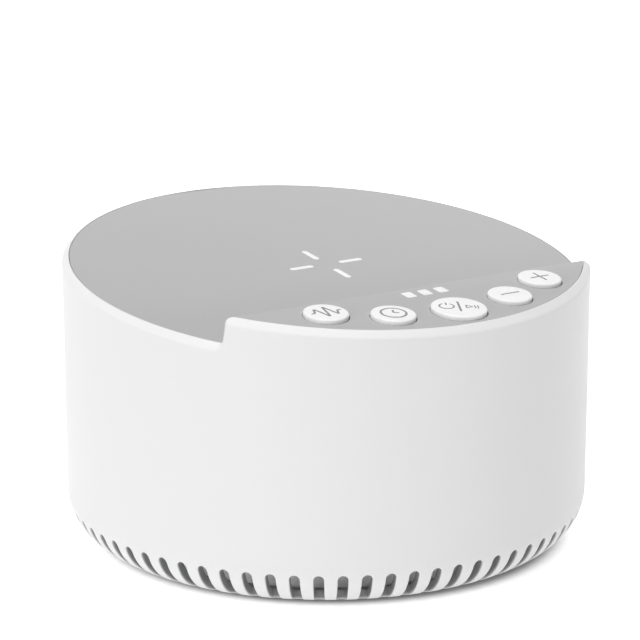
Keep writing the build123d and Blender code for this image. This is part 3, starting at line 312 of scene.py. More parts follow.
# ---- drum ----------------------------------------------------------------------------------------
FIT = {"ledge": 80, "fillet": 8, "face": 4, "foot": 8}      # columns of half the rim; the plate has the rest
SLOT_SIDE = 14                      # columns along one side of a slot
SLOT_END = 8                        # columns round one of its ends, and of the wall over it
EDGE_RINGS = 5                      # rings over the rounded edge of a slot or of the inlet's hole
SLOT_SHARES = (0.0, 0.35, 0.7, 0.92)      # rings outside a slot, as shares of the way in from the border
HOLE_SHARES = (0, 0.4, 0.75, 0.94)        # the same for the inlet's hole
INNER_SHARES = (1, 0.5, 0)                # rings on the inner side, from the opening out to the border
CORNER_POINTS = 17                  # points round one corner of the inlet's hole, before its columns


def rim_line(drum, radius, drop):
    """Closed line where a cylinder meets the deck's face sunk by drop.

    Half of it, front to back: equal angles along the ledge's plane, the arc along the top of the step
    (its radius less drop), the step, the arc at its foot (its radius plus drop), and equal angles
    along the plate's plane. The other half is its mirror image in X.
    """
    c, s, t = cos(drum.tilt), sin(drum.tilt), tan(drum.tilt)
    half = SLOT_END * drum.slot_count // 2
    setback = max(drum.step_top_radius, drop)
    foot = drum.step_foot_radius
    turn = np.linspace(0, pi / 2, FIT["fillet"] + 1)
    top_v = -drum.step_distance - setback + (setback - drop) * np.sin(turn)
    top_w = drum.ledge_rise - setback + (setback - drop) * np.cos(turn)
    turn = np.linspace(pi, 1.5 * pi, FIT["foot"] + 1)
    foot_v = -drum.step_distance + foot + (foot + drop) * np.cos(turn)
    foot_w = foot + (foot + drop) * np.sin(turn)
    face_w = np.linspace(top_w[-1], foot_w[0], FIT["face"] + 1)[1:-1]
    v = np.concatenate([top_v, np.full(len(face_w), top_v[-1]), foot_v])
    w = np.concatenate([top_w, face_w, foot_w])
    y, z = v * c - w * s, drum.plate_height + v * s + w * c
    step = np.stack([np.sqrt(radius ** 2 - y ** 2), y, z], -1)
    first, last = (np.arctan2(p[0], -p[1]) for p in (step[0], step[-1]))
    ledge = np.linspace(0, first, FIT["ledge"] + 1)[:-1]
    plate = np.linspace(last, pi, half - FIT["ledge"] - len(step) + 2)[1:]

    def level(turn, rise):
        back = -radius * np.cos(turn)
        return np.stack([radius * np.sin(turn), back, drum.plate_height + back * t + rise / c], -1)

    right = np.concatenate([level(ledge, drum.ledge_rise - drop), step, level(plate, -drop)])
    left = right[-2:0:-1] * (-1, 1, 1)
    return np.concatenate([right, left])


def bottom_place(drum, alpha, beta, depth, sector):
    """Point on the rounded bottom edge, sunk by depth.

    alpha is the angle round the edge's own section, from underneath to the wall; beta is the angle
    from the slot's middle: r = Rc + (b - depth) sin alpha, z = zc - (b - depth) cos alpha.
    """
    reach = drum.bottom_radius - depth
    r = drum.radius - drum.bottom_radius + reach * np.sin(alpha)
    z = drum.underside + drum.bottom_radius - reach * np.cos(alpha)
    turn = beta + sector
    return np.stack([r * np.sin(turn), -r * np.cos(turn), z + 0 * turn], -1)


def slot_line(drum, grow, depth):
    """(alpha, beta) round a slot widened by grow, at a depth below the surface.

    Half a circle in plan at the inner end, half a circle in elevation at the top, straight sides.
    """
    reach = drum.bottom_radius - depth
    centre_r = drum.radius - drum.bottom_radius
    centre_z = drum.underside + drum.bottom_radius
    half = drum.slot_width / 2 + grow
    inner = drum.slot_inner + drum.slot_width / 2
    top = drum.underside + drum.slot_top - drum.slot_width / 2
    turn = np.linspace(-pi / 2, pi / 2, SLOT_END + 1)
    x, y = inner - half * np.cos(turn), half * np.sin(turn)
    r = np.hypot(x, y)
    low_alpha, low_beta = np.arcsin((r - centre_r) / reach), np.arcsin(y / r)
    turn = np.linspace(0, pi, SLOT_END + 1)
    high_alpha = np.arccos((centre_z - top - half * np.sin(turn)) / reach)
    r = centre_r + reach * np.sin(high_alpha)
    high_beta = np.arcsin(half * np.cos(turn) / r)
    side = np.linspace(low_alpha[-1], high_alpha[0], SLOT_SIDE + 1)[1:-1]
    side_beta = np.arcsin(half / (centre_r + reach * np.sin(side)))
    alpha = np.concatenate([low_alpha, side, high_alpha, side[::-1]])
    beta = np.concatenate([low_beta, side_beta, high_beta, -side_beta[::-1]])
    return alpha, beta


def sector_line(drum):
    """(alpha, beta) round one slot's share of the bottom edge, from the opening to the wall."""
    edge = pi / drum.slot_count
    across = np.linspace(-edge, edge, SLOT_END + 1)
    along = np.linspace(0, pi / 2, SLOT_SIDE + 1)[1:-1]
    alpha = np.concatenate([0 * across, along, 0 * across + pi / 2, along[::-1]])
    beta = np.concatenate([across, 0 * along + edge, across[::-1], 0 * along - edge])
    return alpha, beta


def slotted_edge(drum):
    """(alpha, beta, depth) of rings from a sector's border, over the slot's edge, to the inner side."""
    border = np.array(sector_line(drum))
    edge = drum.slot_edge
    rings = []
    outer = np.array(slot_line(drum, edge, 0.0))
    for part in SLOT_SHARES:
        rings.append((*((1 - part) * border + part * outer), 0.0))
    for turn in np.linspace(0, pi / 2, EDGE_RINGS):
        depth = edge * (1 - cos(turn))
        rings.append((*slot_line(drum, edge * (1 - sin(turn)), depth), depth))
    inner = np.array(slot_line(drum, 0.0, drum.wall))
    for part in INNER_SHARES:
        rings.append((*((1 - part) * border + part * inner), drum.wall))
    return rings


def hole_line(inlet, grow, long_columns, side_columns):
    """(sideways, height) round the inlet's hole: equal steps from each corner's middle to the next."""
    a, b, c = inlet.half_width + grow, inlet.half_height + grow, inlet.corner + grow
    turn = np.linspace(0, pi / 2, CORNER_POINTS)
    arc = circle((a - c, b - c), c, turn)
    dense = np.concatenate([arc, arc[::-1] * (-1, 1), -arc, arc[::-1] * (1, -1)])
    dense = np.roll(dense, CORNER_POINTS // 2 + 1, axis=0)      # starts half way round a corner
    dense = np.concatenate([dense, dense[:1]])
    run = np.concatenate([[0], np.cumsum(np.linalg.norm(np.diff(dense, axis=0), axis=1))])
    corner_run = run[::CORNER_POINTS]
    counts = (side_columns, long_columns, side_columns, long_columns)
    wanted = np.concatenate([np.linspace(lo, hi, n, endpoint=False)
                             for lo, hi, n in zip(corner_run, corner_run[1:], counts)])
    return np.stack([np.interp(wanted, run, dense[:, i]) for i in (0, 1)], -1)


BAND_LOW, BAND_HIGH = 40.0 * MM, 53.0 * MM     # level band of the wall that holds the inlet
BAND_ROWS = 8
LOWER_ROWS = 6                                 # rows of the wall under the band
FIRST_ROW = 0.4 * MM                           # height of the lowest of them
UPPER_ROWS = (0, 0.25, 0.5, 0.75, 0.94, 1.0)   # rows over the band, as shares of the way to the rim
INLET_COLUMNS = 10                             # columns each side of the middle of the back


def cylinder_place(radius, turn, z):
    """Points on a cylinder about Z; the angles start at the front and grow to the right."""
    return np.stack(np.broadcast_arrays(radius * np.sin(turn), -radius * np.cos(turn), z), -1)


def wall_grids(surface, drum, radius, drop, low):
    """Wall from the bottom edge up to its rim line; returns the border of the gap left for the inlet.

    Below, angles go smoothly from equal steps to the rim line's own; above, each column keeps its
    angle and its height runs to the rim.
    """
    rim = rim_line(drum, radius, drop)
    count = len(rim)
    rim_turn = np.unwrap(np.arctan2(rim[:, 0], -rim[:, 1]))
    even = np.arange(count) * 2 * pi / count
    part = np.linspace(0, 1, LOWER_ROWS + 1)[:, None]
    heights = low + (BAND_LOW - low) * part
    heights[1] = low + FIRST_ROW
    part = (heights - low) / (BAND_LOW - low)
    part = part ** 2 * (3 - 2 * part)
    surface.grid(cylinder_place(radius, (1 - part) * even + part * rim_turn, heights), close_columns=True)
    heights = np.linspace(BAND_LOW, BAND_HIGH, BAND_ROWS + 1)[:, None]
    band = cylinder_place(radius, rim_turn[None, :], heights)
    middle, reach = count // 2, INLET_COLUMNS
    left_out = np.zeros((BAND_ROWS, count), bool)
    left_out[:, middle - reach:middle + reach] = True
    surface.grid(band, close_columns=True, leave_out=left_out)
    part = np.array(UPPER_ROWS)[:, None]
    surface.grid(cylinder_place(radius, rim_turn[None, :], BAND_HIGH + (rim[:, 2] - BAND_HIGH) * part),
                 close_columns=True)
    gap = band[:, middle - reach:middle + reach + 1]
    right, left, top, bottom = gap[:, 0], gap[:, -1], gap[-1], gap[0]
    return np.concatenate([right[:-1], top[:-1], left[:0:-1], bottom[:0:-1]])


def inlet_grids(surface, drum, inlet, outer_border, inner_border):
    """Rings from the outer wall over the hole's rounded edge, through the wall to the inner one."""
    columns = (2 * INLET_COLUMNS, BAND_ROWS)

    def hole(grow, depth):
        side, height = hole_line(inlet, grow, *columns).T
        radius = drum.radius - depth
        return cylinder_place(radius, pi - np.arcsin(side / radius), inlet.height + height)

    def between(border, ring, radius, part):
        blend = (1 - part) * border + part * ring
        blend[:, :2] *= radius / np.linalg.norm(blend[:, :2], axis=1)[:, None]
        return blend

    outer, inner = hole(inlet.edge, 0.0), hole(0.0, drum.wall)
    rings = [between(outer_border, outer, drum.radius, part) for part in HOLE_SHARES]
    for turn in np.linspace(0, pi / 2, EDGE_RINGS):
        depth = inlet.edge * (1 - cos(turn))
        rings.append(hole(inlet.edge * (1 - sin(turn)), depth))
    rings += [between(inner_border, inner, drum.radius - drum.wall, part) for part in INNER_SHARES]
    surface.grid(rings, close_columns=True)


RIM_START = 0.5 * MM                           # from the bevel down to the rim's lowest row
RIM_RADII = [0.35 * MM, 0.1 * MM, 0.04 * MM, 0]
SHELF = [(46.3, 15), (56.3, 15), (56.3, 17), (46.3, 17)]        # (radius, height) in millimetres
POST = {"place": 38, "radius": 3.2, "bottom": 4.6, "top": 43.4}                 # millimetres
WEB = {"inner": 40.5, "outer": 56, "half": 1, "bottom": 17.0, "top": 40.0}      # from post to wall


def rim_grids(surface, drum):
    """Bevel, land and seat of the rim, a rim line for each (inset, drop); returns the lowest drop."""
    b, wall, depth = drum.rim_bevel, drum.rim_wall, drum.seat_depth
    start = b + RIM_START
    outline = rounded([(0, start), (0, b), (b, 0), (wall, 0), (wall, depth), (drum.wall, depth)], RIM_RADII)
    surface.grid([rim_line(drum, drum.radius - inward, drop) for inward, drop in outline],
                 close_columns=True)
    return start


def post_outlines():
    """(outline, bottom, top) of one post and of its web, laid along +X."""
    turn = np.linspace(0, 2 * pi, 32, endpoint=False)
    post = circle((POST["place"], 0), POST["radius"], turn) * MM
    web = np.array([(WEB["inner"], -WEB["half"]), (WEB["outer"], -WEB["half"]),
                    (WEB["outer"], WEB["half"]), (WEB["inner"], WEB["half"])]) * MM
    return [(outline, size["bottom"] * MM, size["top"] * MM) for outline, size in ((post, POST), (web, WEB))]


def prism_grid(outline, low, high):
    """Closed prism: the floor's middle, the outline below and above, and the top's middle."""
    middle = outline.mean(0)
    rows = [np.broadcast_to(middle, outline.shape), outline, outline, np.broadcast_to(middle, outline.shape)]
    heights = (low, low, high, high)
    return np.stack([np.column_stack([row, np.full(len(row), z)]) for row, z in zip(rows, heights)])


class MACHINE_OT_housing(bpy.types.Operator):
    """Drum with its rounded bottom, sound slots, bevelled rim, inlet hole and posts"""
    bl_idname = "machine.housing"
    bl_label = "Housing"

    def execute(self, context):
        drum, inlet = context.scene.machine_drum, context.scene.machine_inlet
        surface = Surface()
        edge_rings = slotted_edge(drum)
        for sector in range(drum.slot_count):
            turn = 2 * pi * sector / drum.slot_count
            surface.grid([bottom_place(drum, alpha, beta, depth, turn) for alpha, beta, depth in edge_rings],
                         close_columns=True)
        count = SLOT_END * drum.slot_count
        even = np.arange(count) * 2 * pi / count
        opening = drum.radius - drum.bottom_radius
        surface.grid([cylinder_place(opening, even, drum.underside + depth) for depth in (0, drum.wall)],
                     close_columns=True)
        low = drum.underside + drum.bottom_radius
        drop = rim_grids(surface, drum)
        outer = wall_grids(surface, drum, drum.radius, drop, low)
        inner = wall_grids(surface, drum, drum.radius - drum.wall, drum.seat_depth, low)
        inlet_grids(surface, drum, inlet, outer, inner)
        surface.grid(revolved(np.array(SHELF) * MM, 144), close_rows=True, close_columns=True)
        for turn in range(45, 360, 90):
            for outline, lower, upper in post_outlines():
                surface.grid(turned(prism_grid(outline, lower, upper), radians(turn)), close_columns=True)
        surface.piece("drum_housing", "housing", "housing_white", replaces=["outer_shell"])
        return {"FINISHED"}


class MACHINE_OT_fascia(bpy.types.Operator):
    """Grey fascia: charging plate, step and key ledge in one moulding"""
    bl_idname = "machine.fascia"
    bl_label = "Fascia"

    def execute(self, context):
        smoothed_copy("top_fascia", "grey_fascia", "housing", "fascia_grey")
        return {"FINISHED"}


# ---- print ---------------------------------------------------------------------------------------
PRINT_WELD = 2e-7          # distance under which a printed line's points are merged
CLOSED_STATIONS = 96       # places along a closed printed line
END_STATIONS = 7           # places along each round end of an open one
BODY_STATIONS = 38         # places between its ends


def stroke_grid(path, width, face, thickness, closed=False):
    """Flat printed line with round ends: a thin rectangular section carried along a path.

    Its half width is that of a circle near each end: h(s) = sqrt((w/2)^2 - (w/2 - s)^2).
    face(u, v) is the height of the surface that it is printed on.
    """
    path = np.asarray(path, float)
    steps = np.linalg.norm(np.diff(path, axis=0), axis=1)
    run = np.concatenate([[0], np.cumsum(steps)])
    half = width / 2
    if closed:
        stations = np.linspace(0, run[-1], CLOSED_STATIONS, endpoint=False)
        spread = np.full(len(stations), half)
    else:
        ends = half * (1 - np.cos(np.linspace(0, pi / 2, END_STATIONS)))
        body = np.linspace(half, run[-1] - half, BODY_STATIONS + 2)[1:-1]
        stations = np.concatenate([ends, body, run[-1] - ends[::-1]])
        close = np.minimum(np.minimum(stations, run[-1] - stations), half)
        spread = np.sqrt(np.maximum(half ** 2 - (half - close) ** 2, 0))
    at = np.stack([np.interp(stations, run, path[:, i]) for i in (0, 1)], -1)
    ahead = np.roll(at, -1, 0) - np.roll(at, 1, 0)
    if not closed:
        ahead[0], ahead[-1] = at[1] - at[0], at[-1] - at[-2]
    ahead /= np.linalg.norm(ahead, axis=1)[:, None]
    side = np.stack([-ahead[:, 1], ahead[:, 0]], -1) * spread[:, None]
    columns = []
    for across, level in ((-1, 0), (0, 0), (1, 0), (1, 1), (0, 1), (-1, 1)):
        place = at + across * side
        height = face(place[:, 0], place[:, 1]) + (thickness if level == 0 else -thickness)
        columns.append(np.column_stack([place, height]))
    return np.stack(columns, 1)


def arc_path(centre, radius, start, end, steps=48):
    """Points round a circle between two angles in degrees."""
    return circle(centre, radius, np.radians(np.linspace(start, end, steps)))


class MACHINE_OT_charging_mark(bpy.types.Operator):
    """Four printed strokes round the middle of the charging plate"""
    bl_idname = "machine.charging_mark"
    bl_label = "Charging mark"

    def execute(self, context):
        drum, mark = context.scene.machine_drum, context.scene.machine_mark
        surface = Surface()

        def face(u, v):
            return 0 * u - drum.fascia_drop

        for turn in range(0, 360, 90):
            path = turned([(mark.inner, 0), (mark.outer, 0)], radians(turn))
            grid = stroke_grid(path, mark.width, face, mark.print_height)
            surface.grid(on_deck(grid, drum), close_columns=True)
        surface.piece("charging_mark", "housing", "mark_print", weld=PRINT_WELD)
        return {"FINISHED"}


# ---- keys ----------------------------------------------------------------------------------------
CAP_RADII = [0.1 * MM] * 4 + [0.2 * MM]       # roundings of a cap's flange and stem


def key_places():
    """Body: (CAD cap, u, v, radius) of each key, its middle taken from the CAD cap's box."""
    drum, keys = bpy.context.scene.machine_drum, bpy.context.scene.machine_keys
    c, s = cos(drum.tilt), sin(drum.tilt)
    places = {}
    for body in KEY_BODIES:
        button = body[:-len("key")] + "button"
        low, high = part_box(button)
        centre = (low + high) / 2
        w = (keys.face + keys.stem_end) / 2
        v = (centre.y + w * s) / c
        radius = keys.power_radius if body == "power_key" else keys.small_radius
        places[body] = (button, centre.x, v, radius)
    return places


def crown_height(keys, radius, distance):
    """Height of a cap's face: a ball's cap that falls by the crown at the shoulder."""
    shoulder = radius - keys.edge
    ball = (shoulder ** 2 + keys.crown ** 2) / (2 * keys.crown)
    return keys.face - ball + np.sqrt(ball ** 2 - np.minimum(distance, shoulder) ** 2)


def cap_outline(keys, radius):
    """(radius, height) from the middle of a cap's face over its edge, flange and stem to the stem's end."""
    shoulder = keys.face - keys.crown
    flat = np.linspace(0, radius - keys.edge, 9)
    crown = np.stack([flat, crown_height(keys, radius, flat)], -1)
    edge = circle((radius - keys.edge, shoulder - keys.edge), keys.edge, np.linspace(pi / 2, 0, 8)[1:])
    flange_low = keys.flange_top - keys.flange_thickness
    reach = radius + keys.flange_reach
    rest = rounded([edge[-1], (radius, keys.flange_top), (reach, keys.flange_top), (reach, flange_low),
                    (keys.stem_radius, flange_low), (keys.stem_radius, keys.stem_end), (0, keys.stem_end)],
                   CAP_RADII, 3)
    return np.concatenate([crown, edge, rest[1:]])


class MACHINE_OT_keys(bpy.types.Operator):
    """Five white caps, each turned from one outline"""
    bl_idname = "machine.keys"
    bl_label = "Keys"

    def execute(self, context):
        drum, keys = context.scene.machine_drum, context.scene.machine_keys
        for body, (button, u, v, radius) in key_places().items():
            surface = Surface()
            grid = revolved(cap_outline(keys, radius))
            surface.grid(on_deck(grid + (u, v, 0), drum), close_columns=True)
            surface.piece(body + "_cap", body, "key_white", replaces=[button])
        return {"FINISHED"}


def symbols():
    """Turn of each cap's symbol in degrees, and its lines as (path in millimetres, closed, width share)."""
    wave = [(-3.5, 0), (-2.6, 0), (-1.75, 2.1), (-0.6, -2.7), (0.6, 2.7), (1.75, -2.1), (2.6, 0), (3.5, 0)]
    minus, upright = [(-2.4, 0), (2.4, 0)], [(0, -2.4), (0, 2.4)]
    clock = [(arc_path((0, 0), 2.6, 0, 360, 97), True, 1.0), ([(0, 1.5), (0, 0), (1.2, 0)], False, 0.9)]
    power = [(arc_path((-2.6, 0), 1.5, 118, 422), False, 0.75), ([(-2.6, 0.6), (-2.6, 2.0)], False, 0.75)]
    play = [(1.45, 0.85), (1.45, -0.85), (2.75, 0), (1.45, 0.85)]
    pause = [([(x, 0.85), (x, -0.85)], False, 0.6) for x in (3.3, 3.9)]
    divider = [(0, -2.85), (0, 2.85)]
    return {
        "mode_key": (0, [(wave, False, 1.0)]),
        "timer_key": (-25, clock),
        "power_key": (-27, [*power, (divider, False, 1.0), (play, False, 0.6), *pause]),
        "volume_down_key": (0, [(minus, False, 1.0)]),
        "volume_up_key": (0, [(minus, False, 1.0), (upright, False, 1.0)]),
    }


class MACHINE_OT_key_symbols(bpy.types.Operator):
    """Thin grey symbols printed on the crowned caps"""
    bl_idname = "machine.key_symbols"
    bl_label = "Key symbols"

    def execute(self, context):
        scene = context.scene
        drum, keys, mark = scene.machine_drum, scene.machine_keys, scene.machine_mark
        printed = symbols()
        for body, (_, u, v, radius) in key_places().items():
            surface = Surface()
            turn, lines = printed[body]

            def face(across, along):
                return crown_height(keys, radius, np.hypot(across, along))

            for path, closed, width in lines:
                path = turned(path, radians(turn)) * MM
                grid = stroke_grid(path, keys.symbol_line * width, face, mark.print_height, closed)
                surface.grid(on_deck(grid + (u, v, 0), drum), close_rows=closed, close_columns=True)
            surface.piece(body + "_symbol", body, "symbol_print", weld=PRINT_WELD)
        return {"FINISHED"}


# ---- screen and underside ------------------------------------------------------------------------
SCREEN_THICKNESS = 0.5 * MM
SCREEN_SAG = 0.12 * MM     # how far the screen is drawn in at a slot's middle
SCREEN_COLUMNS, SCREEN_ROWS = 288, 13
FOOT_RADIUS = 5
FOOT = [(0, 0.25), (3.2, 0.25), (3.45, 0), (FOOT_RADIUS, 0), (FOOT_RADIUS, 2), (0, 2)]    # millimetres
FOOT_RADII = [0.2, 0.15, 0.4, 0.15]


class MACHINE_OT_dust_screen(bpy.types.Operator):
    """Woven ring behind the slots, drawn in a little at each of them"""
    bl_idname = "machine.dust_screen"
    bl_label = "Dust screen"

    def execute(self, context):
        drum = context.scene.machine_drum
        low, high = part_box("dust_screen")
        inner, outer = high.x - SCREEN_THICKNESS, high.x
        turn = np.linspace(0, 2 * pi, SCREEN_COLUMNS, endpoint=False)
        rise = np.linspace(0, 1, SCREEN_ROWS)
        sag = SCREEN_SAG * np.outer(np.sin(pi * rise), 1 + np.cos(drum.slot_count * turn)) / 2
        z = low.z + (high.z - low.z) * rise[:, None]
        front, back = (cylinder_place(radius, turn, z) for radius in (outer - sag, inner + 0 * sag))
        surface = Surface()
        surface.grid(np.concatenate([front, back[::-1]]), close_rows=True, close_columns=True)
        piece = surface.piece("woven_screen", "housing", "screen_cloth", replaces=["dust_screen"])
        return {"FINISHED"}


class MACHINE_OT_underside(bpy.types.Operator):
    """Base cover, and rubber feet with a sunken face"""
    bl_idname = "machine.underside"
    bl_label = "Underside"

    def execute(self, context):
        smoothed_copy("base_cover", "moulded_cover", "housing", "cover_white")
        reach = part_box("rubber_feet")[1].x - FOOT_RADIUS * MM
        foot = rounded(FOOT, FOOT_RADII, 5) * MM
        surface = Surface()
        for turn in range(0, 360, 90):
            grid = revolved(foot, 64) + (reach * cos(radians(turn)), reach * sin(radians(turn)), 0)
            surface.grid(grid, close_columns=True)
        surface.piece("rubber_pads", "housing", "foot_rubber", replaces=["rubber_feet"])
        return {"FINISHED"}


class MACHINE_OT_inlet(bpy.types.Operator):
    """Power inlet's pressed shell"""
    bl_idname = "machine.inlet"
    bl_label = "Power inlet"

    def execute(self, context):
        smoothed_copy("usb_jack", "inlet_shell", "housing", "jack_steel")
        return {"FINISHED"}


# ---- driver --------------------------------------------------------------------------------------
def tube_outline(points, thickness):
    """Closed outline of a thin wall: the points one way and, raised by the thickness, back again."""
    points = np.asarray(points, float)
    return np.concatenate([points, points[::-1] + (0, thickness)])


class MACHINE_OT_driver(bpy.types.Operator):
    """Cone, dust cap, surround, spider and gasket of the driver"""
    bl_idname = "machine.driver"
    bl_label = "Driver"

    def execute(self, context):
        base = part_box("speaker_basket")[0].z
        made = {
            "paper_cone": ("cone", "cone_paper", "speaker_cone", self.cone()),
            "paper_cap": ("cone", "cone_paper", "speaker_dust_cap", self.cap()),
            "rubber_surround": ("housing", "surround_rubber", "speaker_surround", self.surround()),
            "woven_spider": ("housing", "spider_cloth", "speaker_spider", self.spider()),
        }
        for name, (body, slot, stands_for, outline) in made.items():
            surface = Surface()
            surface.grid(revolved(outline * MM + (0, base), 128), close_rows=True, close_columns=True)
            surface.piece(name, body, slot, replaces=[stands_for], crease=radians(50), weld=5e-7)
        foam = smoothed_copy("speaker_gasket", "foam_gasket", "housing", "gasket_foam")
        return {"FINISHED"}

    def cone(self):
        """Straight paper wall from the glued rim to the neck."""
        rim, neck = np.array([(18.6, 1.4), (17.3, 1.4)]), np.array([7.15, 7.3])
        part = np.linspace(0, 1, 17)[1:, None]
        wall = rim[1] + part * (neck - rim[1])
        return tube_outline(np.concatenate([rim, wall]), 0.4)

    def cap(self):
        """Ball's cap that bulges to the front."""
        reach, rise, edge = 9.0, 2.2, 6.23
        ball = (reach ** 2 + rise ** 2) / (2 * rise)
        r = np.linspace(0, reach, 17)
        z = edge - rise + ball - np.sqrt(ball ** 2 - r ** 2)
        return tube_outline(np.stack([r, z], -1), 0.38)

    def surround(self):
        """Half roll between two flat lips: z = low - R sin t, R less by the thickness on the inside."""
        middle, roll, thickness, low, inner, outer = 20.35, 1.9, 0.4, 1.0, 17.3, 24.0
        turn = np.linspace(0, -pi, 21)
        face, back = (circle((middle, low), r, turn) for r in (roll, roll - thickness))
        top = low + thickness
        lower = np.concatenate([[(outer, low)], face, [(inner, low)]])
        upper = np.concatenate([[(outer, top), (middle + roll - thickness, top)], back,
                                [(middle - roll + thickness, top), (inner, top)]])
        return np.concatenate([lower, upper[::-1]])

    def spider(self):
        """Three cosine waves between two flat rings."""
        level, height, start, end, inner, outer, waves = 9.7, 0.25, 8.0, 12.4, 7.2, 15.4, 3
        r = np.linspace(start, end, 61)
        z = level - height * (1 - np.cos(2 * pi * waves * (r - start) / (end - start)))
        points = np.concatenate([[(inner, level)], np.stack([r, z], -1), [(outer, level)]])
        return tube_outline(points, 0.3)


class MACHINE_OT_inner_parts(bpy.types.Operator):
    """Finishes of the boards, coil, wires, screws and the driver's metal parts"""
    bl_idname = "machine.inner_parts"
    bl_label = "Inner parts"

    def execute(self, context):
        for slot, names in SLOT_NODES.items():
            for name in names:
                thing = NODES[name]
                if not thing.material_slots:
                    thing.data.materials.append(None)
                for place in thing.material_slots:
                    place.material = finish(slot)
        return {"FINISHED"}


# ---- finishes ------------------------------------------------------------------------------------
def shader_group(name, inputs, outputs):
    """Empty shader node group; inputs have their defaults, numbers or colours, and outputs their kinds."""
    tree = bpy.data.node_groups.new(name, "ShaderNodeTree")
    for title, default in inputs.items():
        kind = "Color" if isinstance(default, tuple) else "Float"
        socket = tree.interface.new_socket(title, in_out="INPUT", socket_type="NodeSocket" + kind)
        socket.default_value = default
    for title, kind in outputs.items():
        tree.interface.new_socket(title, in_out="OUTPUT", socket_type="NodeSocket" + kind)
    return tree, tree.nodes.new("NodeGroupInput").outputs, tree.nodes.new("NodeGroupOutput").inputs


def node(tree, kind, inputs=None, **settings):
    """Adds a shader node; inputs are numbers, colours or sockets to link, by name or number."""
    made = tree.nodes.new("ShaderNode" + kind)
    for key, value in settings.items():
        setattr(made, key, value)
    for key, value in (inputs or {}).items():
        feed(tree, made.inputs[key], value)
    return made


def feed(tree, socket, value):
    """Links a socket to the input, or sets the input to a value."""
    if isinstance(value, bpy.types.NodeSocket):
        tree.links.new(value, socket)
    else:
        socket.default_value = value


def maths(tree, operation, *values):
    """Result of a Math node."""
    return node(tree, "Math", dict(enumerate(values)), operation=operation).outputs[0]


def ramp(tree, value, start, end, low=0.0, high=1.0, curve="LINEAR"):
    """Value carried from the span start to end onto the span low to high, and held beyond it."""
    spans = {"Value": value, "From Min": start, "From Max": end, "To Min": low, "To Max": high}
    return node(tree, "MapRange", spans, interpolation_type=curve).outputs[0]


def scaled(tree, colour, factor):
    """Colour times a number."""
    return node(tree, "VectorMath", {0: colour, "Scale": factor}, operation="SCALE").outputs[0]


def dot(tree, first, second):
    """Dot product of two vectors."""
    inputs = {0: first, 1: second}
    return node(tree, "VectorMath", inputs, operation="DOT_PRODUCT").outputs["Value"]


def distance(tree, x, y):
    """sqrt(x^2 + y^2)"""
    flat = node(tree, "CombineXYZ", {0: x, 1: y}).outputs[0]
    return node(tree, "VectorMath", {0: flat}, operation="LENGTH").outputs["Value"]


def mixed(tree, factor, first, second):
    """Colour between the first and the second."""
    made = node(tree, "Mix", {"Factor": factor}, data_type="RGBA")
    for socket, value in zip([s for s in made.inputs if s.type == "RGBA"], (first, second)):
        feed(tree, socket, value)
    return next(s for s in made.outputs if s.type == "RGBA")


def object_place(tree):
    """Object coordinates."""
    return node(tree, "TexCoord").outputs["Object"]


def object_parts(tree):
    """X, Y and Z of the object coordinates."""
    return node(tree, "SeparateXYZ", {0: object_place(tree)}).outputs


def noise(tree, place, scale, detail, roughness=0.5):
    """Fractal noise from 0 to 1."""
    inputs = {"Vector": place, "Scale": scale, "Detail": detail, "Roughness": roughness}
    return node(tree, "TexNoise", inputs).outputs["Fac"]


SURFACE_OUTPUTS = {"Colour": "Color", "Roughness": "Float", "Height": "Float"}


def deliver(tree, out, *sockets):
    """Links sockets to the group's outputs in their order."""
    for socket, result in zip(sockets, out):
        tree.links.new(socket, result)
    return tree


def grain_group():
    """Spark-eroded mould texture: fine grain, faint large cloudiness in colour and gloss."""
    tree, given, out = shader_group(
        "Moulded grain", {"Colour": (0.8, 0.8, 0.8, 1), "Grain": 5000.0, "Cloud": 0.01, "Roughness": 0.45,
                          "Roughness spread": 0.05, "Cloud scale": 35.0}, SURFACE_OUTPUTS)
    place = object_place(tree)
    fine = noise(tree, place, given["Grain"], 3.0, 0.6)
    broad = noise(tree, place, given["Cloud scale"], 4.0, 0.55)
    lift = ramp(tree, broad, 0.3, 0.7, -1.0, 1.0)
    shift = maths(tree, "MULTIPLY_ADD", lift, given["Cloud"], 1.0)
    centred = maths(tree, "SUBTRACT", maths(tree, "ADD", fine, lift), 0.5)
    rough = maths(tree, "MULTIPLY_ADD", centred, given["Roughness spread"], given["Roughness"])
    return deliver(tree, out, scaled(tree, given["Colour"], shift), rough, fine)


def wear_group():
    """Mask of handled edges: where a normal averaged over a small radius leaves the true one."""
    tree, given, out = shader_group(
        "Edge wear", {"Radius": 0.25 * MM, "Amount": 0.5, "Patch scale": 140.0},
        {"Mask": "Float", "Normal": "Vector"})
    soft = node(tree, "Bevel", {"Radius": given["Radius"]}, samples=6).outputs[0]
    true = node(tree, "NewGeometry").outputs["Normal"]
    edge = ramp(tree, dot(tree, soft, true), 0.995, 0.85)
    rub = ramp(tree, noise(tree, object_place(tree), given["Patch scale"], 4.0), 0.4, 0.62)
    mask = maths(tree, "MULTIPLY", maths(tree, "MULTIPLY", edge, rub), given["Amount"])
    return deliver(tree, out, mask, soft)


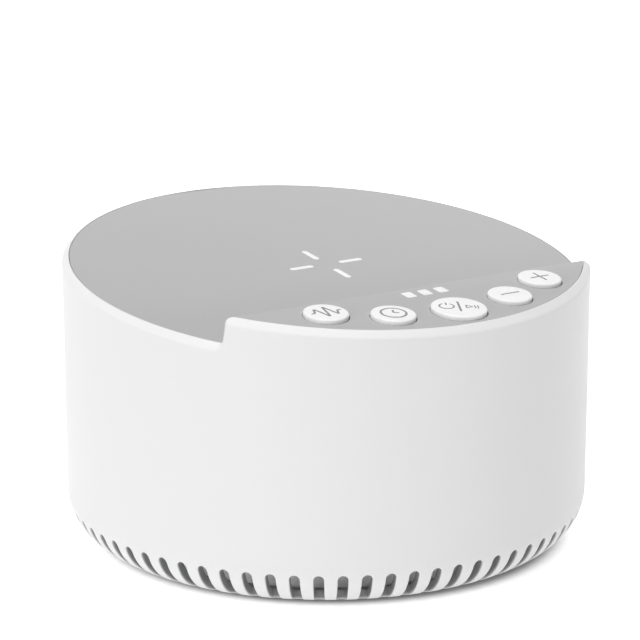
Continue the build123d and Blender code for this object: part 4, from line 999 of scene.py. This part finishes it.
def painted_slot_shade_group():
    """Mask of painted shade that deepens down the slots' cut walls: the square root of the depth's share of
    a span. It is full on the inside of the bottom edge, under the ring's height.
    """
    tree, given, out = shader_group(
        "Thin coat", {"Ring radius": 0.0465, "Ring height": 0.012, "Edge radius": 0.011,
                      "From": 0.00005, "To": 0.0006}, {"Mask": "Float"})
    place = object_parts(tree)
    outward = maths(tree, "SUBTRACT", distance(tree, place["X"], place["Y"]), given["Ring radius"])
    downward = maths(tree, "SUBTRACT", given["Ring height"], place["Z"])
    reach = distance(tree, maths(tree, "MAXIMUM", outward, 0.0), maths(tree, "MAXIMUM", downward, 0.0))
    depth = maths(tree, "SUBTRACT", given["Edge radius"], reach)
    soft = maths(tree, "POWER", ramp(tree, depth, given["From"], given["To"]), 0.5)
    low = maths(tree, "LESS_THAN", place["Z"], given["Ring height"])
    return deliver(tree, out, maths(tree, "MULTIPLY", soft, low))


def weave_group():
    """Plain weave round the axis: warp and weft waves over angle and height, each over and under in turn."""
    tree, given, out = shader_group(
        "Plain weave", {"Colour": (0.6, 0.6, 0.6, 1), "Gap colour": (0.1, 0.1, 0.1, 1),
                        "Threads": 900.0, "Pitch": 0.0003}, SURFACE_OUTPUTS)
    place = object_parts(tree)
    around = maths(tree, "MULTIPLY", maths(tree, "ARCTAN2", place["X"], place["Y"]), given["Threads"])
    upward = maths(tree, "MULTIPLY", maths(tree, "DIVIDE", place["Z"], given["Pitch"]), 2 * pi)
    warp, weft = maths(tree, "SINE", around), maths(tree, "SINE", upward)
    over = maths(tree, "MAXIMUM", warp, weft)
    height = maths(tree, "MULTIPLY_ADD", maths(tree, "MULTIPLY", warp, weft), 0.35, over)
    tone = mixed(tree, ramp(tree, over, -0.5, 0.5), given["Gap colour"], given["Colour"])
    return deliver(tree, out, tone, ramp(tree, height, -1.0, 1.0, 0.95, 0.75), height)


def rings_group():
    """Wound wire or pressed rings: a sine of the distance from the axis shades the colour."""
    tree, given, out = shader_group(
        "Fine rings", {"Colour": (0.7, 0.35, 0.2, 1), "Pitch": 0.0006, "Depth": 0.5, "Roughness": 0.35,
                       "Noise scale": 900.0}, SURFACE_OUTPUTS)
    place = object_parts(tree)
    squares = [maths(tree, "MULTIPLY", place[axis], place[axis]) for axis in "XY"]
    turns = maths(tree, "DIVIDE", maths(tree, "SQRT", maths(tree, "ADD", *squares)), given["Pitch"])
    wave = maths(tree, "SINE", maths(tree, "MULTIPLY", turns, 2 * pi))
    shade = maths(tree, "MULTIPLY_ADD", wave, given["Depth"], 1.0)
    fine = noise(tree, object_place(tree), given["Noise scale"], 3.0)
    rough = maths(tree, "MULTIPLY_ADD", fine, 0.2, given["Roughness"])
    return deliver(tree, out, scaled(tree, given["Colour"], shade), rough, wave)


def traces_group():
    """Board: solder mask over copper tracks, as bands of a stepped cell pattern."""
    tree, given, out = shader_group(
        "Board tracks", {"Mask colour": (0.03, 0.2, 0.08, 1), "Track colour": (0.06, 0.3, 0.12, 1),
                         "Scale": 260.0, "Bands": 5.0}, SURFACE_OUTPUTS)
    cells = node(tree, "TexVoronoi", {"Vector": object_place(tree), "Scale": given["Scale"]},
                 distance="CHEBYCHEV", feature="F1").outputs["Distance"]
    wave = maths(tree, "FRACT", maths(tree, "MULTIPLY", cells, given["Bands"]))
    track = ramp(tree, wave, 0.44, 0.5)
    tone = mixed(tree, track, given["Mask colour"], given["Track colour"])
    return deliver(tree, out, tone, ramp(tree, track, 0.0, 1.0, 0.38, 0.3), track)


def painted_deck_light_group():
    """Painted light and shade over the deck: on the plate lighter to the right and to the back, with painted
    shade near the step, a painted highlight along the ledge's edge. Step is where the plate and the ledge
    meet, Across and Along are per metre."""
    tree, given, out = shader_group(
        "Deck tone", {"Step": -0.0322, "Across": 0.72, "Along": 0.65, "Dip": 0.04, "Ledge": 0.965,
                      "Lip": 0.05, "Lip across": 0.95}, {"Factor": "Float"})
    place = object_parts(tree)
    behind = maths(tree, "SUBTRACT", place["Y"], given["Step"])
    across = maths(tree, "MULTIPLY_ADD", place["X"], given["Across"], 1.0)
    slope = maths(tree, "MULTIPLY_ADD", place["Y"], given["Along"], across)
    near = ramp(tree, behind, 30 * MM, 10 * MM, curve="SMOOTHSTEP")
    plate = maths(tree, "SUBTRACT", slope, maths(tree, "MULTIPLY", near, given["Dip"]))
    edge_highlight = maths(tree, "MULTIPLY_ADD", place["X"], given["Lip across"], given["Lip"])
    ledge = maths(tree, "MULTIPLY_ADD", ramp(tree, behind, -8 * MM, -2 * MM), edge_highlight, given["Ledge"])
    on_plate = ramp(tree, behind, -0.4 * MM, 0.2 * MM)
    both = node(tree, "Mix", {0: on_plate, 2: ledge, 3: plate}, data_type="FLOAT").outputs[0]
    return deliver(tree, out, both)


GROUPS = {"grain": ("Moulded grain", grain_group), "wear": ("Edge wear", wear_group),
          "coat": ("Thin coat", painted_slot_shade_group), "weave": ("Plain weave", weave_group),
          "rings": ("Fine rings", rings_group), "traces": ("Board tracks", traces_group),
          "tone": ("Deck tone", painted_deck_light_group)}


def group(tree, name, inputs=None):
    """Places one of the shared groups in a material, with its values, and returns its outputs."""
    label, build = GROUPS[name]
    made = tree.nodes.new("ShaderNodeGroup")
    made.node_tree = bpy.data.node_groups.get(label) or build()
    for key, value in (inputs or {}).items():
        made.inputs[key].default_value = value
    return made.outputs


def recipe(pattern, values, bump, shader=None, **more):
    """How one slot is finished: pattern, its values, bump in millimetres, shader values, extras."""
    return {"pattern": pattern, "values": values, "shader": shader or {}, "bump": bump * MM, **more}


def plastic(grain, cloud, roughness, bump=0.006, **more):
    """Grained surface without metal: moulding, rubber, paper, print."""
    values = {"Grain": grain, "Cloud": cloud, "Roughness": roughness}
    return recipe("grain", values, bump, {"Specular IOR Level": 0.4}, **more)


def metal(grain, cloud, roughness, spread, bump, wear):
    """Rolled or plated metal with worn edges."""
    values = {"Grain": grain, "Cloud": cloud, "Roughness": roughness, "Roughness spread": spread}
    return recipe("grain", values, bump, {"Metallic": 1.0}, wear=wear)


def ringed(pitch, depth, roughness, bump):
    """Turned or wound metal; pitch in millimetres."""
    values = {"Pitch": pitch * MM, "Depth": depth, "Roughness": roughness}
    return recipe("rings", values, bump, {"Metallic": 1.0})


def woven(threads, bump):
    """Cloth; threads is the number of waves all the way round the axis."""
    return recipe("weave", {"Threads": threads, "Pitch": 0.35 * MM}, bump)


SLOT_SHADE_COLOUR = (0.24, 0.24, 0.24, 1.0)        # painted shade on the slots' cut walls and inside the bottom edge
RECIPES = {
    # the drum gets painted shade in its slots and inside its bottom edge
    "housing_white": plastic(5200.0, 0.004, 0.42, wear=0.15, coat=SLOT_SHADE_COLOUR),
    # the grey fascia gets painted light and shade over its deck
    "fascia_grey": plastic(6500.0, 0.008, 0.5, wear=0.2, tone=True),
    "cover_white": plastic(4200.0, 0.01, 0.55, wear=0.2),
    "key_white": plastic(7000.0, 0.004, 0.3, wear=0.25),
    "lens_white": plastic(9000.0, 0.004, 0.25),
    "mark_print": plastic(8000.0, 0.02, 0.5),
    "symbol_print": plastic(9000.0, 0.05, 0.45),
    "foot_rubber": plastic(3000.0, 0.08, 0.75, 0.02),
    "screw_zinc": metal(1800.0, 0.08, 0.3, 0.2, 0.004, 0.5),
    "screen_cloth": woven(830.0, 0.015),
    "inner_plastic": plastic(3500.0, 0.05, 0.55, wear=0.2),
    "board_green": recipe("traces", {"Scale": 260.0}, 0.03, {"Coat Weight": 0.3}),
    "chip_black": plastic(4000.0, 0.1, 0.55),
    "switch_black": plastic(4000.0, 0.1, 0.5),
    "led_body": plastic(6000.0, 0.03, 0.3),
    "coil_copper": ringed(0.9, 0.35, 0.35, 0.12),
    "ferrite_grey": plastic(2500.0, 0.1, 0.7, 0.02),
    "lead_clear": plastic(2500.0, 0.08, 0.35),
    "can_aluminium": ringed(0.4, 0.05, 0.25, 0.002),
    "jack_steel": metal(1500.0, 0.05, 0.28, 0.15, 0.003, 0.4),
    "socket_cream": plastic(4000.0, 0.04, 0.45),
    "ribbon_white": plastic(1200.0, 0.03, 0.4),
    "gasket_foam": plastic(1600.0, 0.25, 0.95, 0.12),
    "basket_black": plastic(2200.0, 0.1, 0.45, wear=0.4),
    "motor_steel": ringed(0.25, 0.08, 0.3, 0.003),
    "magnet_ferrite": plastic(1800.0, 0.15, 0.7, 0.02),
    "cone_paper": plastic(900.0, 0.2, 0.85, 0.05),
    "surround_rubber": plastic(2600.0, 0.1, 0.6),
    "spider_cloth": woven(180.0, 0.05),
    "strip_board": plastic(1500.0, 0.12, 0.6),
    "lug_brass": metal(1500.0, 0.08, 0.3, 0.05, 0.004, 0.4),
    "wire_red": plastic(2500.0, 0.06, 0.4),
    "wire_black": plastic(2500.0, 0.1, 0.4),
}
CHOSEN = {"housing_white": "housing", "fascia_grey": "fascia", "key_white": "keys", "lens_white": "windows",
          "mark_print": "mark", "symbol_print": "symbols", "screen_cloth": "screen", "cover_white": "cover"}
FINISHED = {}
WEAR_GLOSS = -0.25                         # change of roughness where an edge is fully worn
WORN_SHARE = 1.12                          # brightness of a worn edge, over the finish's own
TRACK_SHARE = 1.5                          # brightness of a board's tracks, over the solder mask's
GAP_SHARE = 0.96                           # brightness between a weave's threads, over the threads'
LIFT = 0.02                                # added to what is brighter, so that black parts show it too


def brighter(colour, factor):
    """Colour times a factor and a little lifted, at most 1."""
    return (*(min(1.0, factor * c + LIFT) for c in colour[:3]), 1.0)


def pattern_colours(pattern, base):
    """Colours of a pattern group that shows the base colour."""
    if pattern == "traces":
        return {"Mask colour": base, "Track colour": brighter(base, TRACK_SHARE)}
    if pattern == "weave":
        return {"Colour": base, "Gap colour": (*(GAP_SHARE * c for c in base[:3]), 1.0)}
    return {"Colour": base}


def finish(slot):
    """Material of one of the record's slots, built once from its recipe."""
    if slot in FINISHED:
        return FINISHED[slot]
    chosen = RECIPES[slot]
    base = RECORD_COLOURS[slot]
    if slot in CHOSEN:
        base = getattr(bpy.context.scene.machine_finishes, CHOSEN[slot])
    base = (*base, 1.0)
    material = bpy.data.materials.new(slot.replace("_", " "))
    material.use_nodes = True
    material.diffuse_color = base
    tree = material.node_tree
    shader = next(n for n in tree.nodes if n.type == "BSDF_PRINCIPLED")
    for key, value in chosen["shader"].items():
        shader.inputs[key].default_value = value
    pattern = group(tree, chosen["pattern"], chosen["values"] | pattern_colours(chosen["pattern"], base))
    look, rough = pattern["Colour"], pattern["Roughness"]
    bump = node(tree, "Bump", {"Height": pattern["Height"], "Distance": chosen["bump"], "Strength": 1.0})
    if "wear" in chosen:
        wear = group(tree, "wear", {"Amount": chosen["wear"]})
        tree.links.new(wear["Normal"], bump.inputs["Normal"])
        look = mixed(tree, wear["Mask"], look, brighter(base, WORN_SHARE))
        rough = maths(tree, "MULTIPLY_ADD", wear["Mask"], WEAR_GLOSS, rough)
    # painted light and shade over the deck, multiplied into the colour
    if "tone" in chosen:
        look = scaled(tree, look, group(tree, "tone")["Factor"])
    # painted shade in the slots, seen only by rays from the camera, from gloss and through glass
    if "coat" in chosen:
        seen = maths(tree, "MULTIPLY", group(tree, "coat")["Mask"], seen_directly(tree))
        look = mixed(tree, seen, look, chosen["coat"])
    feed(tree, shader.inputs["Base Color"], look)
    feed(tree, shader.inputs["Roughness"], rough)
    feed(tree, shader.inputs["Normal"], bump.outputs[0])
    FINISHED[slot] = material
    return material


# ---- stage ---------------------------------------------------------------------------------------
SENSOR_WIDTH = 36.0        # millimetres
TABLE_REACH = 6.0          # half the table's side


def soft_lamp(name, turn, rise, level, spread):
    """Far soft lamp: its light comes from an angle round the drum and above the table, over a wide cone."""
    lamp = bpy.data.lights.new(name, "SUN")
    lamp.energy, lamp.angle = level, spread
    toward = Vector((sin(turn) * cos(rise), -cos(turn) * cos(rise), sin(rise)))
    placed(name, lamp).rotation_euler = toward.to_track_quat("Z", "Y").to_euler()


def emptied(owner):
    """Node tree of a material or world, without its first nodes."""
    owner.use_nodes = True
    owner.node_tree.nodes.clear()
    return owner.node_tree


def seen_directly(tree):
    """1 for rays from the camera, from gloss and through glass, else 0."""
    path = node(tree, "LightPath").outputs
    first = maths(tree, "MAXIMUM", path["Is Camera Ray"], path["Is Glossy Ray"])
    return maths(tree, "MAXIMUM", first, path["Is Transmission Ray"])


class MACHINE_OT_stage(bpy.types.Operator):
    """White table, plain soft lamps and the camera"""
    bl_idname = "machine.stage"
    bl_label = "Stage"

    def execute(self, context):
        scene, stage = context.scene, context.scene.machine_stage
        scene.view_settings.view_transform = "Standard"
        self.camera(scene, stage)
        self.floor(stage)
        self.room(scene, stage)
        turn = stage.azimuth - stage.key_turn
        soft_lamp("Key light", turn, stage.key_rise, stage.key_level, stage.key_spread)
        soft_lamp("Top light", 0.0, radians(90), stage.top_level, stage.top_spread)
        return {"FINISHED"}

    def camera(self, scene, stage):
        """Stands at the azimuth and elevation, its axis parallel to the line to the aim point."""
        a, e = stage.azimuth, stage.elevation
        back = Vector((sin(a) * cos(e), -cos(a) * cos(e), sin(e)))
        right = Vector((cos(a), sin(a), 0))
        up = back.cross(right)
        c, s = cos(stage.roll), sin(stage.roll)
        right, up = c * right + s * up, c * up - s * right
        lens = bpy.data.cameras.new("Camera")
        lens.lens = stage.lens
        lens.sensor_width = SENSOR_WIDTH
        lens.clip_start, lens.clip_end = 0.01, 20.0
        eye = placed("Camera", lens)
        aim = Vector((0, 0, stage.aim_height))
        place = aim + back * stage.distance + right * stage.side + up * stage.lift
        eye.matrix_world = Matrix((
            (right.x, up.x, back.x, place.x),
            (right.y, up.y, back.y, place.y),
            (right.z, up.z, back.z, place.z),
            (0, 0, 0, 1)))
        scene.camera = eye

    def floor(self, stage):
        """Square table; rays from the camera see a white with a painted contact shadow, darker in an ellipse
        under the drum.

        Other rays see the plain table and a uniform light from inside it. From below it can't be seen.
        """
        mesh = bpy.data.meshes.new("Table")
        corners = [(TABLE_REACH * x, TABLE_REACH * y, 0) for x, y in ((-1, -1), (1, -1), (1, 1), (-1, 1))]
        mesh.from_pydata(corners, [], [(0, 1, 2, 3)])
        material = bpy.data.materials.new("Table white")
        tree = emptied(material)
        # distance from the middle of the painted contact shadow
        away = self.from_shadow(tree, stage)

        def fade(low, high):
            return ramp(tree, away, stage.glow_start, stage.glow_full, low, high, "SMOOTHSTEP")

        def glow(strength):
            return node(tree, "Emission", {"Color": (1, 1, 1, 1), "Strength": strength}).outputs[0]

        def added(first, second):
            return node(tree, "AddShader", {0: first, 1: second}).outputs[0]

        def chosen(factor, first, second):
            return node(tree, "MixShader", {0: factor, 1: first, 2: second}).outputs[0]

        plain = node(tree, "BsdfDiffuse", {"Color": (*stage.floor_colour, 1)}).outputs[0]
        white = node(tree, "BsdfDiffuse", {"Color": fade(stage.floor_shade, 1.0)}).outputs[0]
        above = chosen(seen_directly(tree), added(plain, glow(stage.floor_bounce)),
                       added(white, glow(fade(0.0, stage.floor_glow))))
        below = node(tree, "NewGeometry").outputs["Backfacing"]
        surface = chosen(below, above, node(tree, "BsdfTransparent").outputs[0])
        tree.links.new(surface, tree.nodes.new("ShaderNodeOutputMaterial").inputs["Surface"])
        mesh.materials.append(material)
        placed("Table", mesh)

    def from_shadow(self, tree, stage):
        """Distance from the contact shadow's middle, scaled by the squeeze along the camera's view."""
        place = object_place(tree)
        c, s = cos(stage.azimuth), sin(stage.azimuth)

        def along(direction):
            return dot(tree, place, direction)

        across = maths(tree, "SUBTRACT", along(Vector((c, s, 0))), stage.glow_shift)
        return distance(tree, across, along(stage.glow_squeeze * Vector((s, -c, 0))))

    def room(self, scene, stage):
        """Even light round the object; rays from the camera see plain white."""
        world = bpy.data.worlds.new("Room")
        scene.world = world
        tree = emptied(world)
        level = ramp(tree, seen_directly(tree), 0.0, 1.0, stage.sky, 1.0)
        air = node(tree, "Background", {"Color": (1, 1, 1, 1), "Strength": level}).outputs[0]
        tree.links.new(air, tree.nodes.new("ShaderNodeOutputWorld").inputs["Surface"])


# ---- panel and start -----------------------------------------------------------------------------
OPERATORS = (MACHINE_OT_stage, MACHINE_OT_inner_parts, MACHINE_OT_housing, MACHINE_OT_fascia,
             MACHINE_OT_charging_mark, MACHINE_OT_keys, MACHINE_OT_key_symbols, MACHINE_OT_dust_screen,
             MACHINE_OT_underside, MACHINE_OT_inlet, MACHINE_OT_driver)
SETTINGS = {"machine_drum": DrumSizes, "machine_inlet": InletSizes, "machine_keys": KeySizes,
            "machine_mark": MarkSizes, "machine_finishes": Finishes, "machine_stage": StageSettings}


class MACHINE_PT_panel(bpy.types.Panel):
    """Buttons and settings of the sound machine"""
    bl_label = "Sound Machine"
    bl_idname = "MACHINE_PT_panel"
    bl_space_type = "VIEW_3D"
    bl_region_type = "UI"
    bl_category = "Sound Machine"

    def draw(self, context):
        for operator in OPERATORS:
            self.layout.operator(operator.bl_idname)
        for attribute, settings in SETTINGS.items():
            box = self.layout.box()
            box.label(text=settings.__doc__)
            for name in settings.__annotations__:
                box.prop(getattr(context.scene, attribute), name)


def register():
    """Registers the settings, the operators and the panel."""
    for settings in SETTINGS.values():
        bpy.utils.register_class(settings)
    for operator in (*OPERATORS, MACHINE_PT_panel):
        bpy.utils.register_class(operator)
    for attribute, settings in SETTINGS.items():
        setattr(bpy.types.Scene, attribute, PointerProperty(type=settings))


def unregister():
    """Takes them out again in reverse order."""
    for attribute in SETTINGS:
        delattr(bpy.types.Scene, attribute)
    for operator in (MACHINE_PT_panel, *reversed(OPERATORS)):
        bpy.utils.unregister_class(operator)
    for settings in SETTINGS.values():
        bpy.utils.unregister_class(settings)


def main():
    """Registers the classes and runs the operators in order."""
    register()
    for operator in OPERATORS:
        group_name, name = operator.bl_idname.split(".")
        getattr(getattr(bpy.ops, group_name), name)()
    bpy.context.view_layer.update()


if __name__ == "__main__":
    main()
